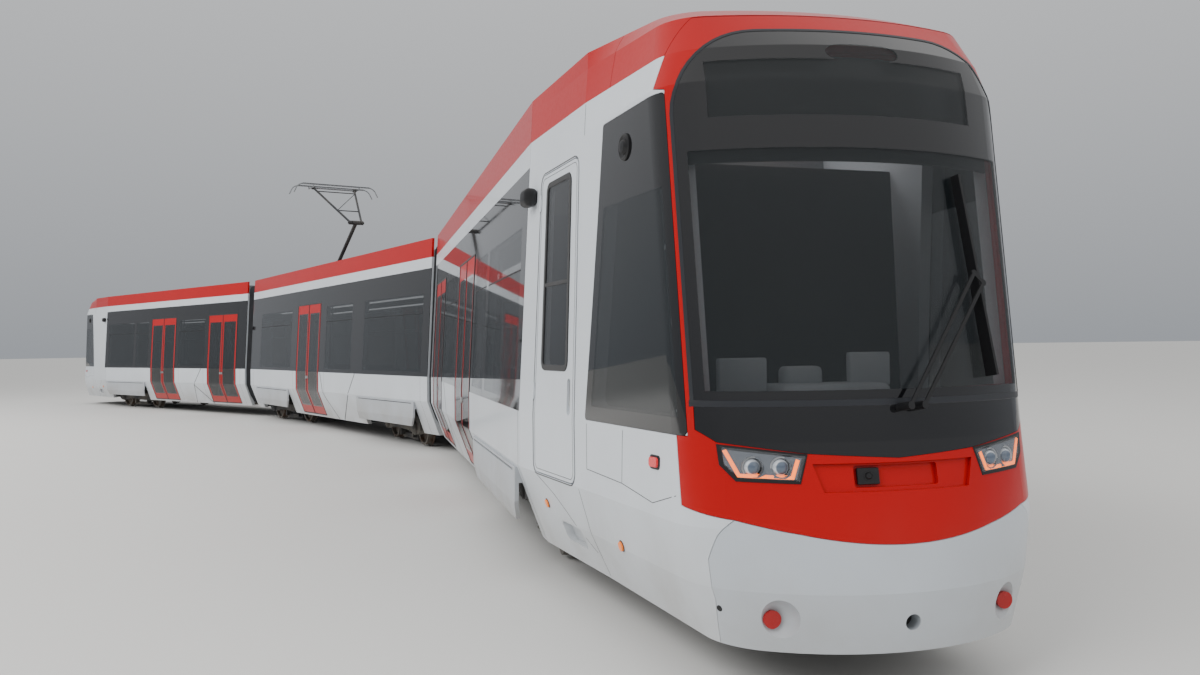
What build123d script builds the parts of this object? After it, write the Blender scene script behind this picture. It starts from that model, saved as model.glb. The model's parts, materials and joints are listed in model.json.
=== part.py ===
from build123d import *
import math
import os

# Three-body low-floor tram, in millimetres: +X ahead, +Z up, wheels' lowest points at z = 0.
# Each car is modelled straight in its own frame and set on the curve at the end.

# Train and curve
pivot_spacing = 11900        # between the two articulation pivots, the centre car's length
gangway_length = 730         # clear distance between two car bodies
front_bend = -19.6           # degrees, front car to centre car at rest
rear_bend = 14.4             # degrees, rear car to centre car at rest
end_bogie_x = 7750           # bogie centre of an end car, from its pivot
centre_bogie_x = 3650        # bogie centres of the centre car, from its middle
bogie_yaws = {"front": -4.4, "centre_lead": -6.4, "centre_trail": 4.7, "rear": 3.1}

# Clearances
seat_gap = 0.3               # between a piece and what carries it
seam = 4                     # visible joint between fixed panels
door_gap = 8                 # round the cab door
latch_gap = 14               # at the cab door's free edge
running = 0.06               # radial play of a shaft in its hole

# Body section: height and half width of each bend line
skirt_z, skirt_half = 280, 1120
chin_z, chin_half = 560, 1222.5
crease_z, crease_half = 840, 1325
sill_z, sill_half = 1240, 1322
band_z, band_half = 3010, 1215
cantrail_z, cantrail_half = 3190, 1204
crown_z, crown_half = 3400, 1191
roof_z, roof_half = 3500, 1185
body_section = [
    (skirt_z, skirt_half), (chin_z, chin_half), (crease_z, crease_half), (sill_z, sill_half),
    (band_z, band_half), (cantrail_z, cantrail_half), (crown_z, crown_half), (roof_z, roof_half)]

wall_t = 80                  # side wall and cab shell
glass_t = 8                  # bonded glass
leaf_t = 45                  # door leaf
fairing_t = 40               # roof fairing panel
floor_top, floor_t = 360, 60
ceiling_z, ceiling_t = 2650, 25
roof_plate_t = 70

# Doors and windows: ranges along the car
door_foot, door_head = 330, 2680
door_lip = 30                # frame behind a leaf's edge
stile, header, kick = 85, 190, 170
window_foot, window_head, window_r = 1310, 2600, 60
end_doors = [(860, 2420), (4400, 5960)]
end_windows = [(2620, 4200), (6180, 7050), (7210, 9080)]
centre_doors = [(-1640, -60)]
centre_windows = [(-4690, -2110), (330, 1900), (2570, 5310)]

# Cab: plan outline at each height
cab_x, mid_x, mask_x = 9300, 10550, 11604
corner_round = 170
cab_levels = [
    # z, half width at mid_x, half width at the corner, x of the corner, x of the nose
    (skirt_z, 960, 800, 12030, 12360),
    (chin_z, 1080, 900, 12000, 12405),
    (crease_z, 1150, 950, 11995, 12350),
    (sill_z, 1150, 930, 11970, 12265),
    (band_z, 1091, 962, 11712, 11990),
    (cantrail_z, 1080, 905, 11676, 11940),
    (crown_z, 1062, 850, 11570, 11740),
    (roof_z, 1060, 780, 11360, 11500)]
cap_x = 10930                # rear edge of the closed cab roof
cap_t = 40
mask_head_z = 3392           # upper edge of the mask, under the roof cap
# Side view of the mask's rear edge, downwards, and of its lower edge, forwards, on the bumper
mask_rear = [(mask_x, mask_head_z), (mask_x, 3014), (11684, 2996), (11920, 1262), (11842, 1262), (11906, 933)]
mask_foot = [(12126, 886), (12260, 830), (12400, 755)]
bumper_rear = [(11984, skirt_z), (12036, 500), (12038, 691), (12084, 808)]
screen_foot_z, screen_head_z = 1430, 3290
screen_t = 12
screen_foot_half, screen_head_half, screen_r = 896, 916, 430
# Left half of the dark panel below the screen, in front view
panel_half = [(0, 1160), (440, 1188), (815, 1240), (892, 1296), (892, 1424)]
pocket_corners = [(-375, 1012), (375, 1012), (415, 1142), (-415, 1142)]
pocket_depth, niche_depth = 16, 34
niche = (-225, 205, 1030, 1130, 12)
cab_door_x0, cab_door_x1 = 9650, 10450
cab_door_z0, cab_door_z1, cab_door_r = 850, 2880, 70
cab_pane = [(9800, 1560), (10310, 1560), (10310, 2800), (9800, 2800)]
side_pane = [(10640, 1262), (11918, 1262), (11684, 2984), (10885, 2984)]
side_pane_margin, side_pane_r = 90, 24
step_x0, step_x1, step_z0, step_z1, step_depth = 9930, 10330, 415, 545, 55
panel_x = 11780              # rear edge of the dark panel below the screen
screen_bond = 45             # width of the screen's bonded edge
# Headlamp outline on the left, in front view
lamp_corners = [(482, 1062), (742, 1072), (800, 1140), (806, 1222), (446, 1178)]
lamp_outlines = [lamp_corners, [(-y, z) for y, z in lamp_corners]]
lens_ys, lens_z, lens_r = (550, 670), 1126, 42
reflector_y, reflector_z, reflector_r = 610, 430, 42
dish_r, dish_depth = 105, 45
tow_y, tow_z, tow_r, tow_length = 0, 420, 26, 140
wiper_y, wiper_z, wiper_stand = 340, 1398, 48
hinge_zs = (1400, 2700)      # middles of the cab door's two hinges
hinge_out, hinge_play, hinge_clear = 3, 0.3, 5
knuckle_r, hinge_pin_r, knuckle_half, ear_length = 9, 5, 30, 26
louvre_zs = (3262, 3302, 3342, 3382)
louvre_h, louvre_depth = 16, 18

# Bogie and wheels
flange_r, tread_r, axle_r, journal_r = 332, 305, 65, 50
wheel_back, wheel_w, flange_w = 690, 125, 30
wheelbase = 1800
frame_y, frame_w = 850, 110
kingpin_r = 60
bogie_room = 1450            # half length of the space over a bogie
tunnel_aisle, tunnel_web = 440, 40
tunnel_floor, tunnel_plate = 412, 38
wheel_box_z, wheel_box_t = 720, 40
wall_cut_z, wall_cut_half = 700, 1340
apron_half, apron_top, apron_foot, apron_out, apron_t = 1400, 812, 400, 1334, 30

# Articulation
disc_r, disc_gap, disc_t = 640, 10, 25
pin_r = 55
portal_t = 60
lintel_z, cab_way_half = 2420, 330
portal_half, portal_head, portal_r = 780, 2480, 120
bellows_folds = 6
bellows_peak, bellows_valley, bellows_depth = 25, 95, 190
bellows_foot, bellows_head = 310, 3430

# Pantograph, on the centre car
panto_x, panto_z = -2850, 3610
panto_arm = 1780
panto_angle = 33             # degrees above level, as raised
panto_shaft_r, panto_tube_r, panto_upper_r = 25, 42, 24
panto_spread, head_half, head_depth, head_rise = 500, 800, 190, 60

car_end = gangway_length / 2


def half_at(z):
    """Half width of the body section at a height."""
    for (z0, w0), (z1, w1) in zip(body_section, body_section[1:]):
        if z <= z1:
            return w0 + (w1 - w0) * (z - z0) / (z1 - z0)
    return body_section[-1][1]


def long_prism(points, x0, x1):
    """A cross section of (y, z) points, run along the car."""
    face = Plane.YZ * make_face(Polyline(*points, close=True))
    return Pos(x0, 0, 0) * extrude(face, amount=x1 - x0)


def side_prism(face, y0, y1):
    """A side view face drawn in (x, z), run across the car."""
    return Pos(0, y1, 0) * extrude(Plane.XZ * face, amount=y1 - y0)


def front_prism(face, x0, x1):
    """A front view face drawn in (y, z), run along the car."""
    return Pos(x0, 0, 0) * extrude(Plane.YZ * face, amount=x1 - x0)


def block(x0, x1, y0, y1, z0, z1):
    """A box between six planes."""
    centre = ((x0 + x1) / 2, (y0 + y1) / 2, (z0 + z1) / 2)
    return Pos(*centre) * Box(x1 - x0, y1 - y0, z1 - z0)


def rounded(x0, x1, z0, z1, r):
    """A rounded rectangle between four lines."""
    return Pos((x0 + x1) / 2, (z0 + z1) / 2) * RectangleRounded(x1 - x0, z1 - z0, r)


def both_sides(shape):
    """A piece and its mirror image across the car."""
    return shape + mirror(shape, about=Plane.XZ)


def skin(z0, z1, front, back):
    """The left side's section between two heights, from one depth under the outer face to another."""
    heights = [z0] + [z for z, _ in body_section if z0 < z < z1] + [z1]
    outer = [(half_at(z) - front, z) for z in heights]
    inner = [(half_at(z) - back, z) for z in reversed(heights)]
    return outer + inner


def rod(start, end, radius):
    """A round bar from point to point."""
    start, end = Vector(*start), Vector(*end)
    run = end - start
    return Plane(origin=start, z_dir=run.normalized()) * Cylinder(
        radius, run.length, align=(Align.CENTER, Align.CENTER, Align.MIN))


def solids_of(*shapes, place=Location()):
    """Separate solids as one sub-part, set in place."""
    solids = [place * solid for shape in shapes for solid in shape.solids()]
    return solids[0] if len(solids) == 1 else Compound(solids)


# Roof boxes, side walls, floors, roofs


def roof_unit(x0, x1, half, top, fan_r):
    """Equipment box on the roof, with louvred sides and two sunk fans."""
    unit = block(x0, x1, -half, half, cantrail_z - 2, top)
    unit = chamfer(unit.edges().filter_by(Axis.X).sort_by(Axis.Z)[-2:], 60)
    bays = round((x1 - x0) / 550)
    bay = (x1 - x0) / bays
    for number in range(bays):
        start = x0 + number * bay
        for z in louvre_zs:
            for y in (-half, half):
                unit -= block(start + 60, start + bay - 60, y - louvre_depth, y + louvre_depth, z, z + louvre_h)
    for x in (x0 + (x1 - x0) * 0.3, x0 + (x1 - x0) * 0.7):
        unit += Pos(x, 0, top) * Cylinder(fan_r, 30)
        unit -= Pos(x, 0, top) * Cylinder(fan_r - 30, 50)
        unit += Pos(x, 0, top) * Cylinder(fan_r * 0.3, 54)
    return unit


def wall(x0, x1, doors, windows, bogies):
    """Both side walls of a saloon, with the door portals, windows and wheel openings cut."""
    side = long_prism(skin(skirt_z, cantrail_z, 0, wall_t), x0, x1)
    rebate = skin(sill_z, band_z, -wall_t, glass_t + seat_gap)
    side -= long_prism(rebate, x0 - seam, x1 + seam)
    for d0, d1 in doors:
        leaf_room = skin(door_foot - seam, door_head + seam, -wall_t, leaf_t + seat_gap)
        side -= long_prism(leaf_room, d0 - seam, d1 + seam)
        way = skin(floor_top + seat_gap, door_head - door_lip, -wall_t, 2 * wall_t)
        side -= long_prism(way, d0 + door_lip, d1 - door_lip)
    for w0, w1 in windows:
        opening = rounded(w0, w1, window_foot, window_head, window_r)
        side -= side_prism(opening, 0, 2 * sill_half)
    for centre in bogies:
        side -= block(centre - wall_cut_half, centre + wall_cut_half, 0, 2 * sill_half, 0, wall_cut_z)
    return both_sides(side)


def portal(x0):
    """Gangway end frame between the two side walls."""
    heights = [floor_top + seat_gap] + [z for z, _ in body_section if floor_top < z <= cantrail_z]
    half = [(half_at(z) - wall_t - seat_gap, z) for z in heights]
    plate = long_prism(half + [(-y, z) for y, z in reversed(half)], x0, x0 + portal_t)
    way = rounded(-portal_half, portal_half, floor_top - 2 * floor_t, portal_head, portal_r)
    return plate - front_prism(way, x0 - portal_t, x0 + 2 * portal_t)


def roof_beam(x0, x1):
    """Closed roof box: ceiling below, roof plate above, with its webs along the cantrails."""
    def ring(inset, z0, z1):
        right = [(half_at(z0) - inset, z0), (half_at(band_z) - inset, band_z), (half_at(z1) - inset, z1)]
        return right + [(-y, z) for y, z in reversed(right)]
    outer = long_prism(ring(wall_t + seat_gap, ceiling_z, cantrail_z - seat_gap), x0, x1)
    inner = ring(wall_t + 60, ceiling_z + ceiling_t, cantrail_z - roof_plate_t)
    return outer - long_prism(inner, x0 + 60, x1 - 60)


def floor_run(x0, x1):
    """Low floor between two places."""
    bottom, top = floor_top - floor_t, floor_top
    half = [(half_at(z) - wall_t - seat_gap, z) for z in (bottom, top)]
    return long_prism(half + [(-y, z) for y, z in reversed(half)], x0, x1)


def bogie_tunnel(centre):
    """Raised floor over a bogie: a low aisle plate with the kingpin, between two wheel boxes."""
    bottom, top = floor_top - floor_t, wheel_box_z + wheel_box_t
    web = tunnel_aisle + tunnel_web
    aisle_top = tunnel_floor + tunnel_plate
    x0, x1 = centre - bogie_room, centre + bogie_room
    aisle = block(x0, x1, -tunnel_aisle + seat_gap, tunnel_aisle - seat_gap, tunnel_floor, aisle_top)
    aisle += Pos(centre, 0, tunnel_floor + 1) * Cylinder(
        kingpin_r, 201, align=(Align.CENTER, Align.CENTER, Align.MAX))
    edge_low, edge_top = [half_at(z) - wall_t - seat_gap for z in (wheel_box_z, top)]
    box = long_prism([(tunnel_aisle, tunnel_floor), (web, tunnel_floor), (web, wheel_box_z),
                      (edge_low, wheel_box_z), (edge_top, top), (tunnel_aisle, top)], x0, x1)
    end_section = [(tunnel_aisle, bottom)] + [(half_at(z) - wall_t - seat_gap, z) for z in (bottom, top)]
    end_section += [(tunnel_aisle, top)]
    for end in (x0, x1 - wheel_box_t):
        box += long_prism(end_section, end, end + wheel_box_t)
        aisle += block(end, end + wheel_box_t, -tunnel_aisle + seat_gap, tunnel_aisle - seat_gap, bottom, aisle_top)
    return [aisle, box, mirror(box, about=Plane.XZ)]


def jacking_pad(x, y):
    """Thick pad under the floor where the car is lifted."""
    return block(x - 110, x + 110, y - 90, y + 90, floor_top - floor_t - 15, floor_top - floor_t)


# Doors, glass and aprons


def double_door(d0, d1):
    """Two leaves and the header of one door, on the left side."""
    pieces = []
    middle = (d0 + d1) / 2
    glass_foot, glass_head = door_foot + kick, door_head - header
    for x0, x1 in ((d0, middle - seam / 2), (middle + seam / 2, d1)):
        leaf = long_prism(skin(door_foot, door_head, 0, leaf_t), x0, x1)
        pane = skin(glass_foot, glass_head, -leaf_t, glass_t + seat_gap)
        leaf -= long_prism(pane, x0 + stile - 12, x1 - stile + 12)
        light = skin(glass_foot + 12, glass_head - 12, -leaf_t, 2 * leaf_t)
        leaf -= long_prism(light, x0 + stile, x1 - stile)
        pieces.append(leaf)
    return pieces


def door_panes(d0, d1):
    """The two panes of one door, in their leaves' rebates."""
    middle = (d0 + d1) / 2
    section = skin(door_foot + kick + 1, door_head - header - 1, 0, glass_t)
    return [long_prism(section, x0 + stile - 11, x1 - stile + 11)
            for x0, x1 in ((d0, middle - seam / 2), (middle + seam / 2, d1))]


def band_glass(x0, x1, doors):
    """Dark bonded glass of one side, from door to door and above each door."""
    pieces = []
    section = skin(sill_z + 1, band_z - 1, 0, glass_t)
    edges = [x0] + [edge for d0, d1 in doors for edge in (d0 - 2 * seam, d1 + 2 * seam)] + [x1]
    for start, stop in zip(edges[0::2], edges[1::2]):
        pieces.append(long_prism(section, start, stop))
    over = skin(door_head + 2 * seam, band_z - 1, 0, glass_t)
    for d0, d1 in doors:
        pieces.append(long_prism(over, d0 - seam, d1 + seam))
    return pieces


def apron(centre):
    """Bogie cover that stands proud of the tucked-in skirt, with its vent slot along the top edge."""
    proud = [(apron_out, apron_top), (apron_out, 540), (apron_out - 34, apron_foot)]
    back = [(apron_out - 34 - apron_t, apron_foot), (apron_out - apron_t, 540), (apron_out - apron_t, wall_cut_z - 6),
            (half_at(wall_cut_z) + seat_gap, wall_cut_z - 6), (half_at(wall_cut_z) + seat_gap, wall_cut_z),
            (half_at(apron_top) + seat_gap, apron_top)]
    cover = long_prism(proud + back, centre - apron_half, centre + apron_half)
    outline = Polyline(
        (centre - apron_half + 10, apron_top + 1), (centre + apron_half - 10, apron_top + 1),
        (centre + apron_half - 30, 560), (centre + apron_half - 190, apron_foot - 1),
        (centre - apron_half + 90, apron_foot - 1), close=True)
    cover = cover & side_prism(make_face(outline), 0, 2 * apron_out)
    slot = rounded(centre - apron_half + 120, centre + apron_half - 120, apron_top - 34, apron_top - 18, 7)
    return cover - side_prism(slot, apron_out - 8, 2 * apron_out)


# Cab


def nose_circle(corner_half, corner_x, nose_x):
    """Centre and radius of the plan arc through the two corners and the nose."""
    rise = nose_x - corner_x
    radius = (corner_half ** 2 + rise ** 2) / (2 * rise)
    return nose_x - radius, radius


def cab_outline(level, inset, rear_x):
    """Plan outline of the cab at one level, moved in by an inset."""
    z, mid_half, corner_half, corner_x, nose_x = level
    mid_half, corner_half = mid_half - inset, corner_half - inset
    corner_x, nose_x = corner_x - inset, nose_x - inset
    rear_half = half_at(z) - inset
    slope = (rear_half - mid_half) / (mid_x - cab_x)
    rear_half += slope * (cab_x - rear_x)
    side = Vector(corner_x - mid_x, corner_half - mid_half, 0).normalized()
    tangent_in = Vector(corner_x, corner_half, 0) - side * corner_round
    centre_x, radius = nose_circle(corner_half, corner_x, nose_x)
    front_half = corner_half - corner_round * 0.9
    front_x = centre_x + math.sqrt(radius ** 2 - front_half ** 2)
    left = TangentArc((tangent_in.X, tangent_in.Y), (front_x, front_half), tangent=(side.X, side.Y))
    edges = [
        Line((rear_x, -rear_half), (rear_x, rear_half)),
        Line((rear_x, rear_half), (mid_x, mid_half)),
        Line((mid_x, mid_half), (tangent_in.X, tangent_in.Y)),
        left,
        ThreePointArc((front_x, front_half), (nose_x, 0), (front_x, -front_half)),
        mirror(left, about=Plane.XZ),
        Line((tangent_in.X, -tangent_in.Y), (mid_x, -mid_half)),
        Line((mid_x, -mid_half), (rear_x, -rear_half))]
    return Pos(0, 0, z) * make_face(edges)


def front_face_x(y, z):
    """Distance along the car of the cab's outer front face, inside its round corners."""
    for low, high in zip(cab_levels, cab_levels[1:]):
        if z <= high[0]:
            share = (z - low[0]) / (high[0] - low[0])
            ends = []
            for _, _, corner_half, corner_x, nose_x in (low, high):
                centre_x, radius = nose_circle(corner_half, corner_x, nose_x)
                ends.append(centre_x + math.sqrt(radius ** 2 - y ** 2))
            return ends[0] + share * (ends[1] - ends[0])
    return cab_levels[-1][4]


def pane_face(points, margin, corner=window_r):
    """A pane's outline, moved in by a margin, with its corners rounded."""
    face = make_face(Polyline(*points, close=True))
    if margin:
        face = offset(face, amount=-margin, kind=Kind.INTERSECTION)
    return fillet(face.vertices(), corner)


def side_half(x, z):
    """Half width of the cab beside the driver's door, between the sill and the band's top."""
    mid_halves = [level[1] for level in cab_levels if level[0] in (sill_z, band_z)]
    share = (z - sill_z) / (band_z - sill_z)
    mid_half = mid_halves[0] + share * (mid_halves[1] - mid_halves[0])
    return half_at(z) + (mid_half - half_at(z)) * (x - cab_x) / (mid_x - cab_x)


def cab_door_face(gap, latch):
    """The cab door's outline, grown by a gap all round and another at its free edge."""
    return rounded(cab_door_x0 - gap, cab_door_x1 + latch, cab_door_z0 - gap, cab_door_z1 + gap,
                   cab_door_r + gap)


wide = 3000
front_limit = 13000
screen_corners = [
    (-screen_foot_half, screen_foot_z), (screen_foot_half, screen_foot_z),
    (screen_head_half, screen_head_z), (-screen_head_half, screen_head_z)]
mask_shape = make_face(Polyline(*mask_rear, *mask_foot, (front_limit, mask_foot[-1][1]),
                                (front_limit, mask_head_z), close=True))
bumper_head = [(x, z - seam) for x, z in mask_foot]
bumper_shape = make_face(Polyline(*bumper_rear, *bumper_head, (front_limit, bumper_head[-1][1]),
                                  (front_limit, skirt_z), close=True))
front_cuts = [offset(shape, amount=seam, kind=Kind.INTERSECTION) for shape in (mask_shape, bumper_shape)]
panel_shape = make_face(Polyline(*panel_half, *[(-y, z) for y, z in reversed(panel_half[1:])], close=True))
screen_shape = make_face(Polyline(*screen_corners, close=True))
screen_shape = fillet(screen_shape.vertices().sort_by(Axis.Y)[2:], screen_r)


class Cab:
    """The cab of one end car. Its curved faces are made where the car stands."""

    def __init__(self, place):
        self.place = place
        self.full = self.form(0, cab_x)
        self.under_glass = self.form(glass_t + seat_gap)
        self.glass_back = self.form(glass_t)
        self.inside = self.form(wall_t)
        self.shell = self.full - self.inside

    def form(self, inset, rear_x=cab_x - 1):
        """The cab's whole form, from skirt to roof, moved in by an inset."""
        return loft([self.place * cab_outline(level, inset, rear_x) for level in cab_levels], ruled=True)

    def room(self, x0, x1, z0, z1):
        """A box across the whole width between two places and two heights."""
        return self.place * block(x0, x1, -wide, wide, z0, z1)

    def across(self, face, y0=-wide, y1=wide):
        """A side view face, run across the car."""
        return self.place * side_prism(face, y0, y1)

    def ahead(self, face, x0=mask_x):
        """A front view face, run forward."""
        return self.place * front_prism(face, x0, front_limit)

    def turned(self, shape, x, y, z):
        """A shape about the Z axis, turned to point ahead and set in place."""
        return self.place * Pos(x, y, z) * Rotation(0, 90, 0) * shape

    def sides(self):
        """White side panels from the saloon to the red mask, with the fixed ears and pins of the door's hinges."""
        panels = self.shell & self.room(cab_x + seam, front_limit, skirt_z, cantrail_z)
        for cut in front_cuts:
            panels -= self.across(cut)
        panels -= self.across(pane_face(side_pane, 0, side_pane_r)) - self.under_glass
        panels -= self.across(pane_face(side_pane, side_pane_margin))
        panels -= self.across(cab_door_face(door_gap, latch_gap), y1=0)
        step = self.across(rounded(step_x0, step_x1, step_z0, step_z1, 40))
        panels -= step - self.form(step_depth)
        inner, outer = knuckle_half + hinge_play, knuckle_half + hinge_play + ear_length
        for z in hinge_zs:
            panels -= self.on_hinge(z - inner - hinge_clear, z + inner + hinge_clear, knuckle_r + hinge_clear)
            panels += self.on_hinge(z - outer, z - inner, knuckle_r)
            panels += self.on_hinge(z + inner, z + outer, knuckle_r)
            panels += self.on_hinge(z - outer, z + outer, hinge_pin_r)
        return panels

    def on_hinge(self, z0, z1, radius):
        """A round piece on the axis of the cab door's hinges, between two heights."""
        x = cab_door_x0 - door_gap / 2
        ends = [(x, -side_half(x, z) - hinge_out, z) for z in (z0, z1)]
        return self.place * rod(*ends, radius)

    def nose(self):
        """Red mask: pillars beside the screen, head rail above it and the nose below."""
        mask = self.shell & self.across(mask_shape)
        mask -= self.ahead(screen_shape) - self.form(screen_t + seat_gap)
        light = offset(screen_shape, amount=-screen_bond, kind=Kind.INTERSECTION)
        mask -= self.ahead(light, mask_x - wide)
        mask -= self.ahead(panel_shape, panel_x) - self.under_glass
        mask -= self.ahead(make_face(Polyline(*pocket_corners, close=True))) - self.form(pocket_depth)
        mask -= self.ahead(rounded(*niche)) - self.form(niche_depth)
        for lamp in lamp_outlines:
            mask -= self.ahead(make_face(Polyline(*lamp, close=True)))
        return mask

    def windscreen(self):
        """Curved screen, bonded in the mask's rebate."""
        inner = offset(screen_shape, amount=-seam / 2, kind=Kind.INTERSECTION)
        return (self.full - self.form(screen_t)) & self.ahead(inner)

    def nose_panel(self):
        """Dark gloss panel below the screen."""
        inner = offset(panel_shape, amount=-seam / 2, kind=Kind.INTERSECTION)
        return (self.full - self.glass_back) & self.ahead(inner, panel_x)

    def side_panes(self):
        """Dark side windows of the cab."""
        return (self.full - self.glass_back) & self.across(pane_face(side_pane, seam / 2, side_pane_r))

    def bumper(self):
        """Front skirt, with dished reflector recesses and the hole of the tow socket."""
        skirt = self.shell & self.across(bumper_shape)
        for y in (-reflector_y, reflector_y):
            x = front_face_x(y, reflector_z) + dish_r - dish_depth
            skirt -= self.place * Pos(x, y, reflector_z) * Sphere(dish_r)
        return skirt - self.turned(Cylinder(tow_r + 12, 600), front_face_x(tow_y, tow_z), tow_y, tow_z)

    def lamps(self):
        """Headlamp housings with two round lenses each, and the round reflectors."""
        pieces = []
        for side, outline in zip((1, -1), lamp_outlines):
            face = offset(make_face(Polyline(*outline, close=True)), amount=-seat_gap, kind=Kind.INTERSECTION)
            housing = self.shell & self.ahead(face)
            for y in lens_ys:
                x = front_face_x(y, lens_z)
                housing -= self.turned(Cylinder(lens_r + 2, 60), x, side * y, lens_z)
                housing += self.place * Pos(x - 30, side * y, lens_z) * Sphere(lens_r)
            pieces.append(housing)
        seat = dish_r - dish_depth - math.sqrt(dish_r ** 2 - (reflector_r + seat_gap) ** 2)
        for y in (-reflector_y, reflector_y):
            disc = Cylinder(reflector_r, 20, align=(Align.CENTER, Align.CENTER, Align.MIN))
            pieces.append(self.turned(disc, front_face_x(y, reflector_z) + seat, y, reflector_z))
        return pieces

    def door(self):
        """Driver's door leaf, with its window opening and a recessed handle."""
        leaf = (self.full - self.form(leaf_t)) & self.across(cab_door_face(0, 0), y1=0)
        leaf -= self.across(pane_face(cab_pane, 0), y1=0) - self.under_glass
        leaf -= self.across(pane_face(cab_pane, 14), y1=0)
        near, far = knuckle_half + hinge_play - hinge_clear, knuckle_half + hinge_play + ear_length + hinge_clear
        for z in hinge_zs:
            for z0, z1 in ((z - far, z - near), (z + near, z + far)):
                leaf -= self.on_hinge(z0, z1, knuckle_r + hinge_clear)
            leaf += self.on_hinge(z - knuckle_half, z + knuckle_half, knuckle_r)
            leaf -= self.on_hinge(z - 2 * knuckle_half, z + 2 * knuckle_half, hinge_pin_r + hinge_play)
        grip = rounded(cab_door_x1 - 130, cab_door_x1 - 70, 1270, 1500, 25)
        return leaf - (self.across(grip, y1=0) - self.form(28))

    def door_pane(self):
        """Window of the driver's door."""
        return (self.full - self.glass_back) & self.across(pane_face(cab_pane, 1), y1=0)

    def fairing(self):
        """Fairing along the cab and the closed roof cap above the screen."""
        inner = self.form(cap_t)
        low = cantrail_z + seat_gap
        sides = (self.full - inner) & self.room(cab_x + seam / 2, cap_x - seam, low, roof_z)
        cap = self.full & self.room(cap_x, front_limit, low, roof_z)
        cap -= inner & self.room(cap_x + cap_t, front_limit, 0, roof_z - cap_t)
        cap -= self.across(front_cuts[0])
        return [sides, cap]

    def wiper(self):
        """Twin-arm wiper parked beside the middle of the screen, on two round feet."""
        _, radius = nose_circle(screen_foot_half, 0, 250)
        lean = math.atan2(front_face_x(0, sill_z) - front_face_x(0, band_z), band_z - sill_z)
        turn = math.asin(wiper_y / radius)
        out = Vector(math.cos(turn) * math.cos(lean), math.sin(turn) * math.cos(lean), math.sin(lean))
        foot = Vector(front_face_x(wiper_y, wiper_z), wiper_y, wiper_z) + out * wiper_stand
        flat = Plane(origin=foot, x_dir=(-math.sin(turn), math.cos(turn), 0), z_dir=out)
        feet = [(-312, 0), (-228, 0)]
        joints = [(196, 640), (248, 590)]
        arms = Sketch() + [trace(Line(a, b), 18) for a, b in zip(feet, joints)]
        arms += [Pos(*point) * Circle(16) for point in joints]
        arms += trace(Line(joints[0], joints[1]), 18)
        blade = trace(Line((262, 130), (186, 1150)), 14)
        shape = extrude(flat * arms, amount=8) + extrude(flat * blade, amount=-2 * wiper_stand)
        shape += extrude(flat * blade, amount=4)
        for point in feet:
            shape += extrude(flat * Pos(*point) * Circle(20), amount=12)
            shape += extrude(flat * Pos(*point) * Circle(20), amount=-2 * wiper_stand)
        return self.place * shape - self.form(-seat_gap)

    def floor(self):
        """Floor plate of the cab."""
        return self.form(wall_t + seat_gap) & self.room(cab_x - 1, front_limit, floor_top - floor_t, floor_top)


def fairing(x0, x1):
    """Roof fairing of both sides."""
    return both_sides(long_prism(skin(cantrail_z + seat_gap, roof_z, 0, fairing_t), x0, x1))


# Interior


def seat_pair(x, y0, y1, base, facing):
    """Two seats side by side on a base height, facing ahead (+1) or back (-1)."""
    profile = Polyline(
        (-230, 0), (200, 0), (215, 75), (-150, 60), (-235, 560), (-285, 560), (-260, 40), close=True)
    face = fillet(make_face(profile).vertices().sort_by(Axis.X)[-1:], 20)
    shell = side_prism(face, y0, y1)
    if facing < 0:
        shell = mirror(shell, about=Plane.YZ)
    return Pos(x, 0, base) * shell


def seats_over(centre):
    """Facing seats on the wheel boxes of one bogie."""
    base = wheel_box_z + wheel_box_t + seat_gap
    pieces = []
    for x, facing in ((-1090, 1), (-330, -1), (330, 1), (1090, -1)):
        for side in (-1, 1):
            y0, y1 = sorted((side * 470, side * 1180))
            pieces.append(seat_pair(centre + x, y0, y1, base, facing))
    return pieces


def seats_between(x0, x1):
    """Two facing seat pairs on each side between two doors, on wall brackets."""
    pieces = []
    for x, facing in ((x0 + 330, 1), (x1 - 330, -1)):
        for side in (-1, 1):
            y0, y1 = sorted((side * 470, side * (sill_half - wall_t - 20)))
            pair = seat_pair(x, y0, y1, 780, facing)
            leg = block(x - 60, x + 60, min(side * 640, side * 760), max(side * 640, side * 760),
                        floor_top + seat_gap, 781)
            pieces.append(pair + leg)
    return pieces


def cab_furniture():
    """Desk, driver's seat and the bulkhead behind the cab."""
    desk_section = Polyline((11150, floor_top + seat_gap), (11420, floor_top + seat_gap), (11500, 900), (11640, 1130),
                            (11560, 1180), (11120, 1090), (11100, 1040), (11150, 1000), close=True)
    desk = side_prism(make_face(desk_section), -620, 620)
    seat = seat_pair(10450, -260, 260, 800, 1)
    seat += Pos(10450, 0, floor_top + seat_gap) * Cylinder(70, 445, align=(Align.CENTER, Align.CENTER, Align.MIN))
    seat += Pos(10450, 0, floor_top + seat_gap) * Cylinder(210, 30, align=(Align.CENTER, Align.CENTER, Align.MIN))
    heights = [floor_top + seat_gap, crease_z, sill_z, ceiling_z - seat_gap]
    half = [(half_at(z) - wall_t - 45, z) for z in heights]
    panel = long_prism(half + [(cab_way_half, heights[-1]), (cab_way_half, heights[0])], 9400, 9435)
    lintel = block(9400, 9435, -cab_way_half + seat_gap, cab_way_half - seat_gap, lintel_z, heights[-1])
    return [desk, seat, panel, mirror(panel, about=Plane.XZ), lintel]


# Bogies and wheels


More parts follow.
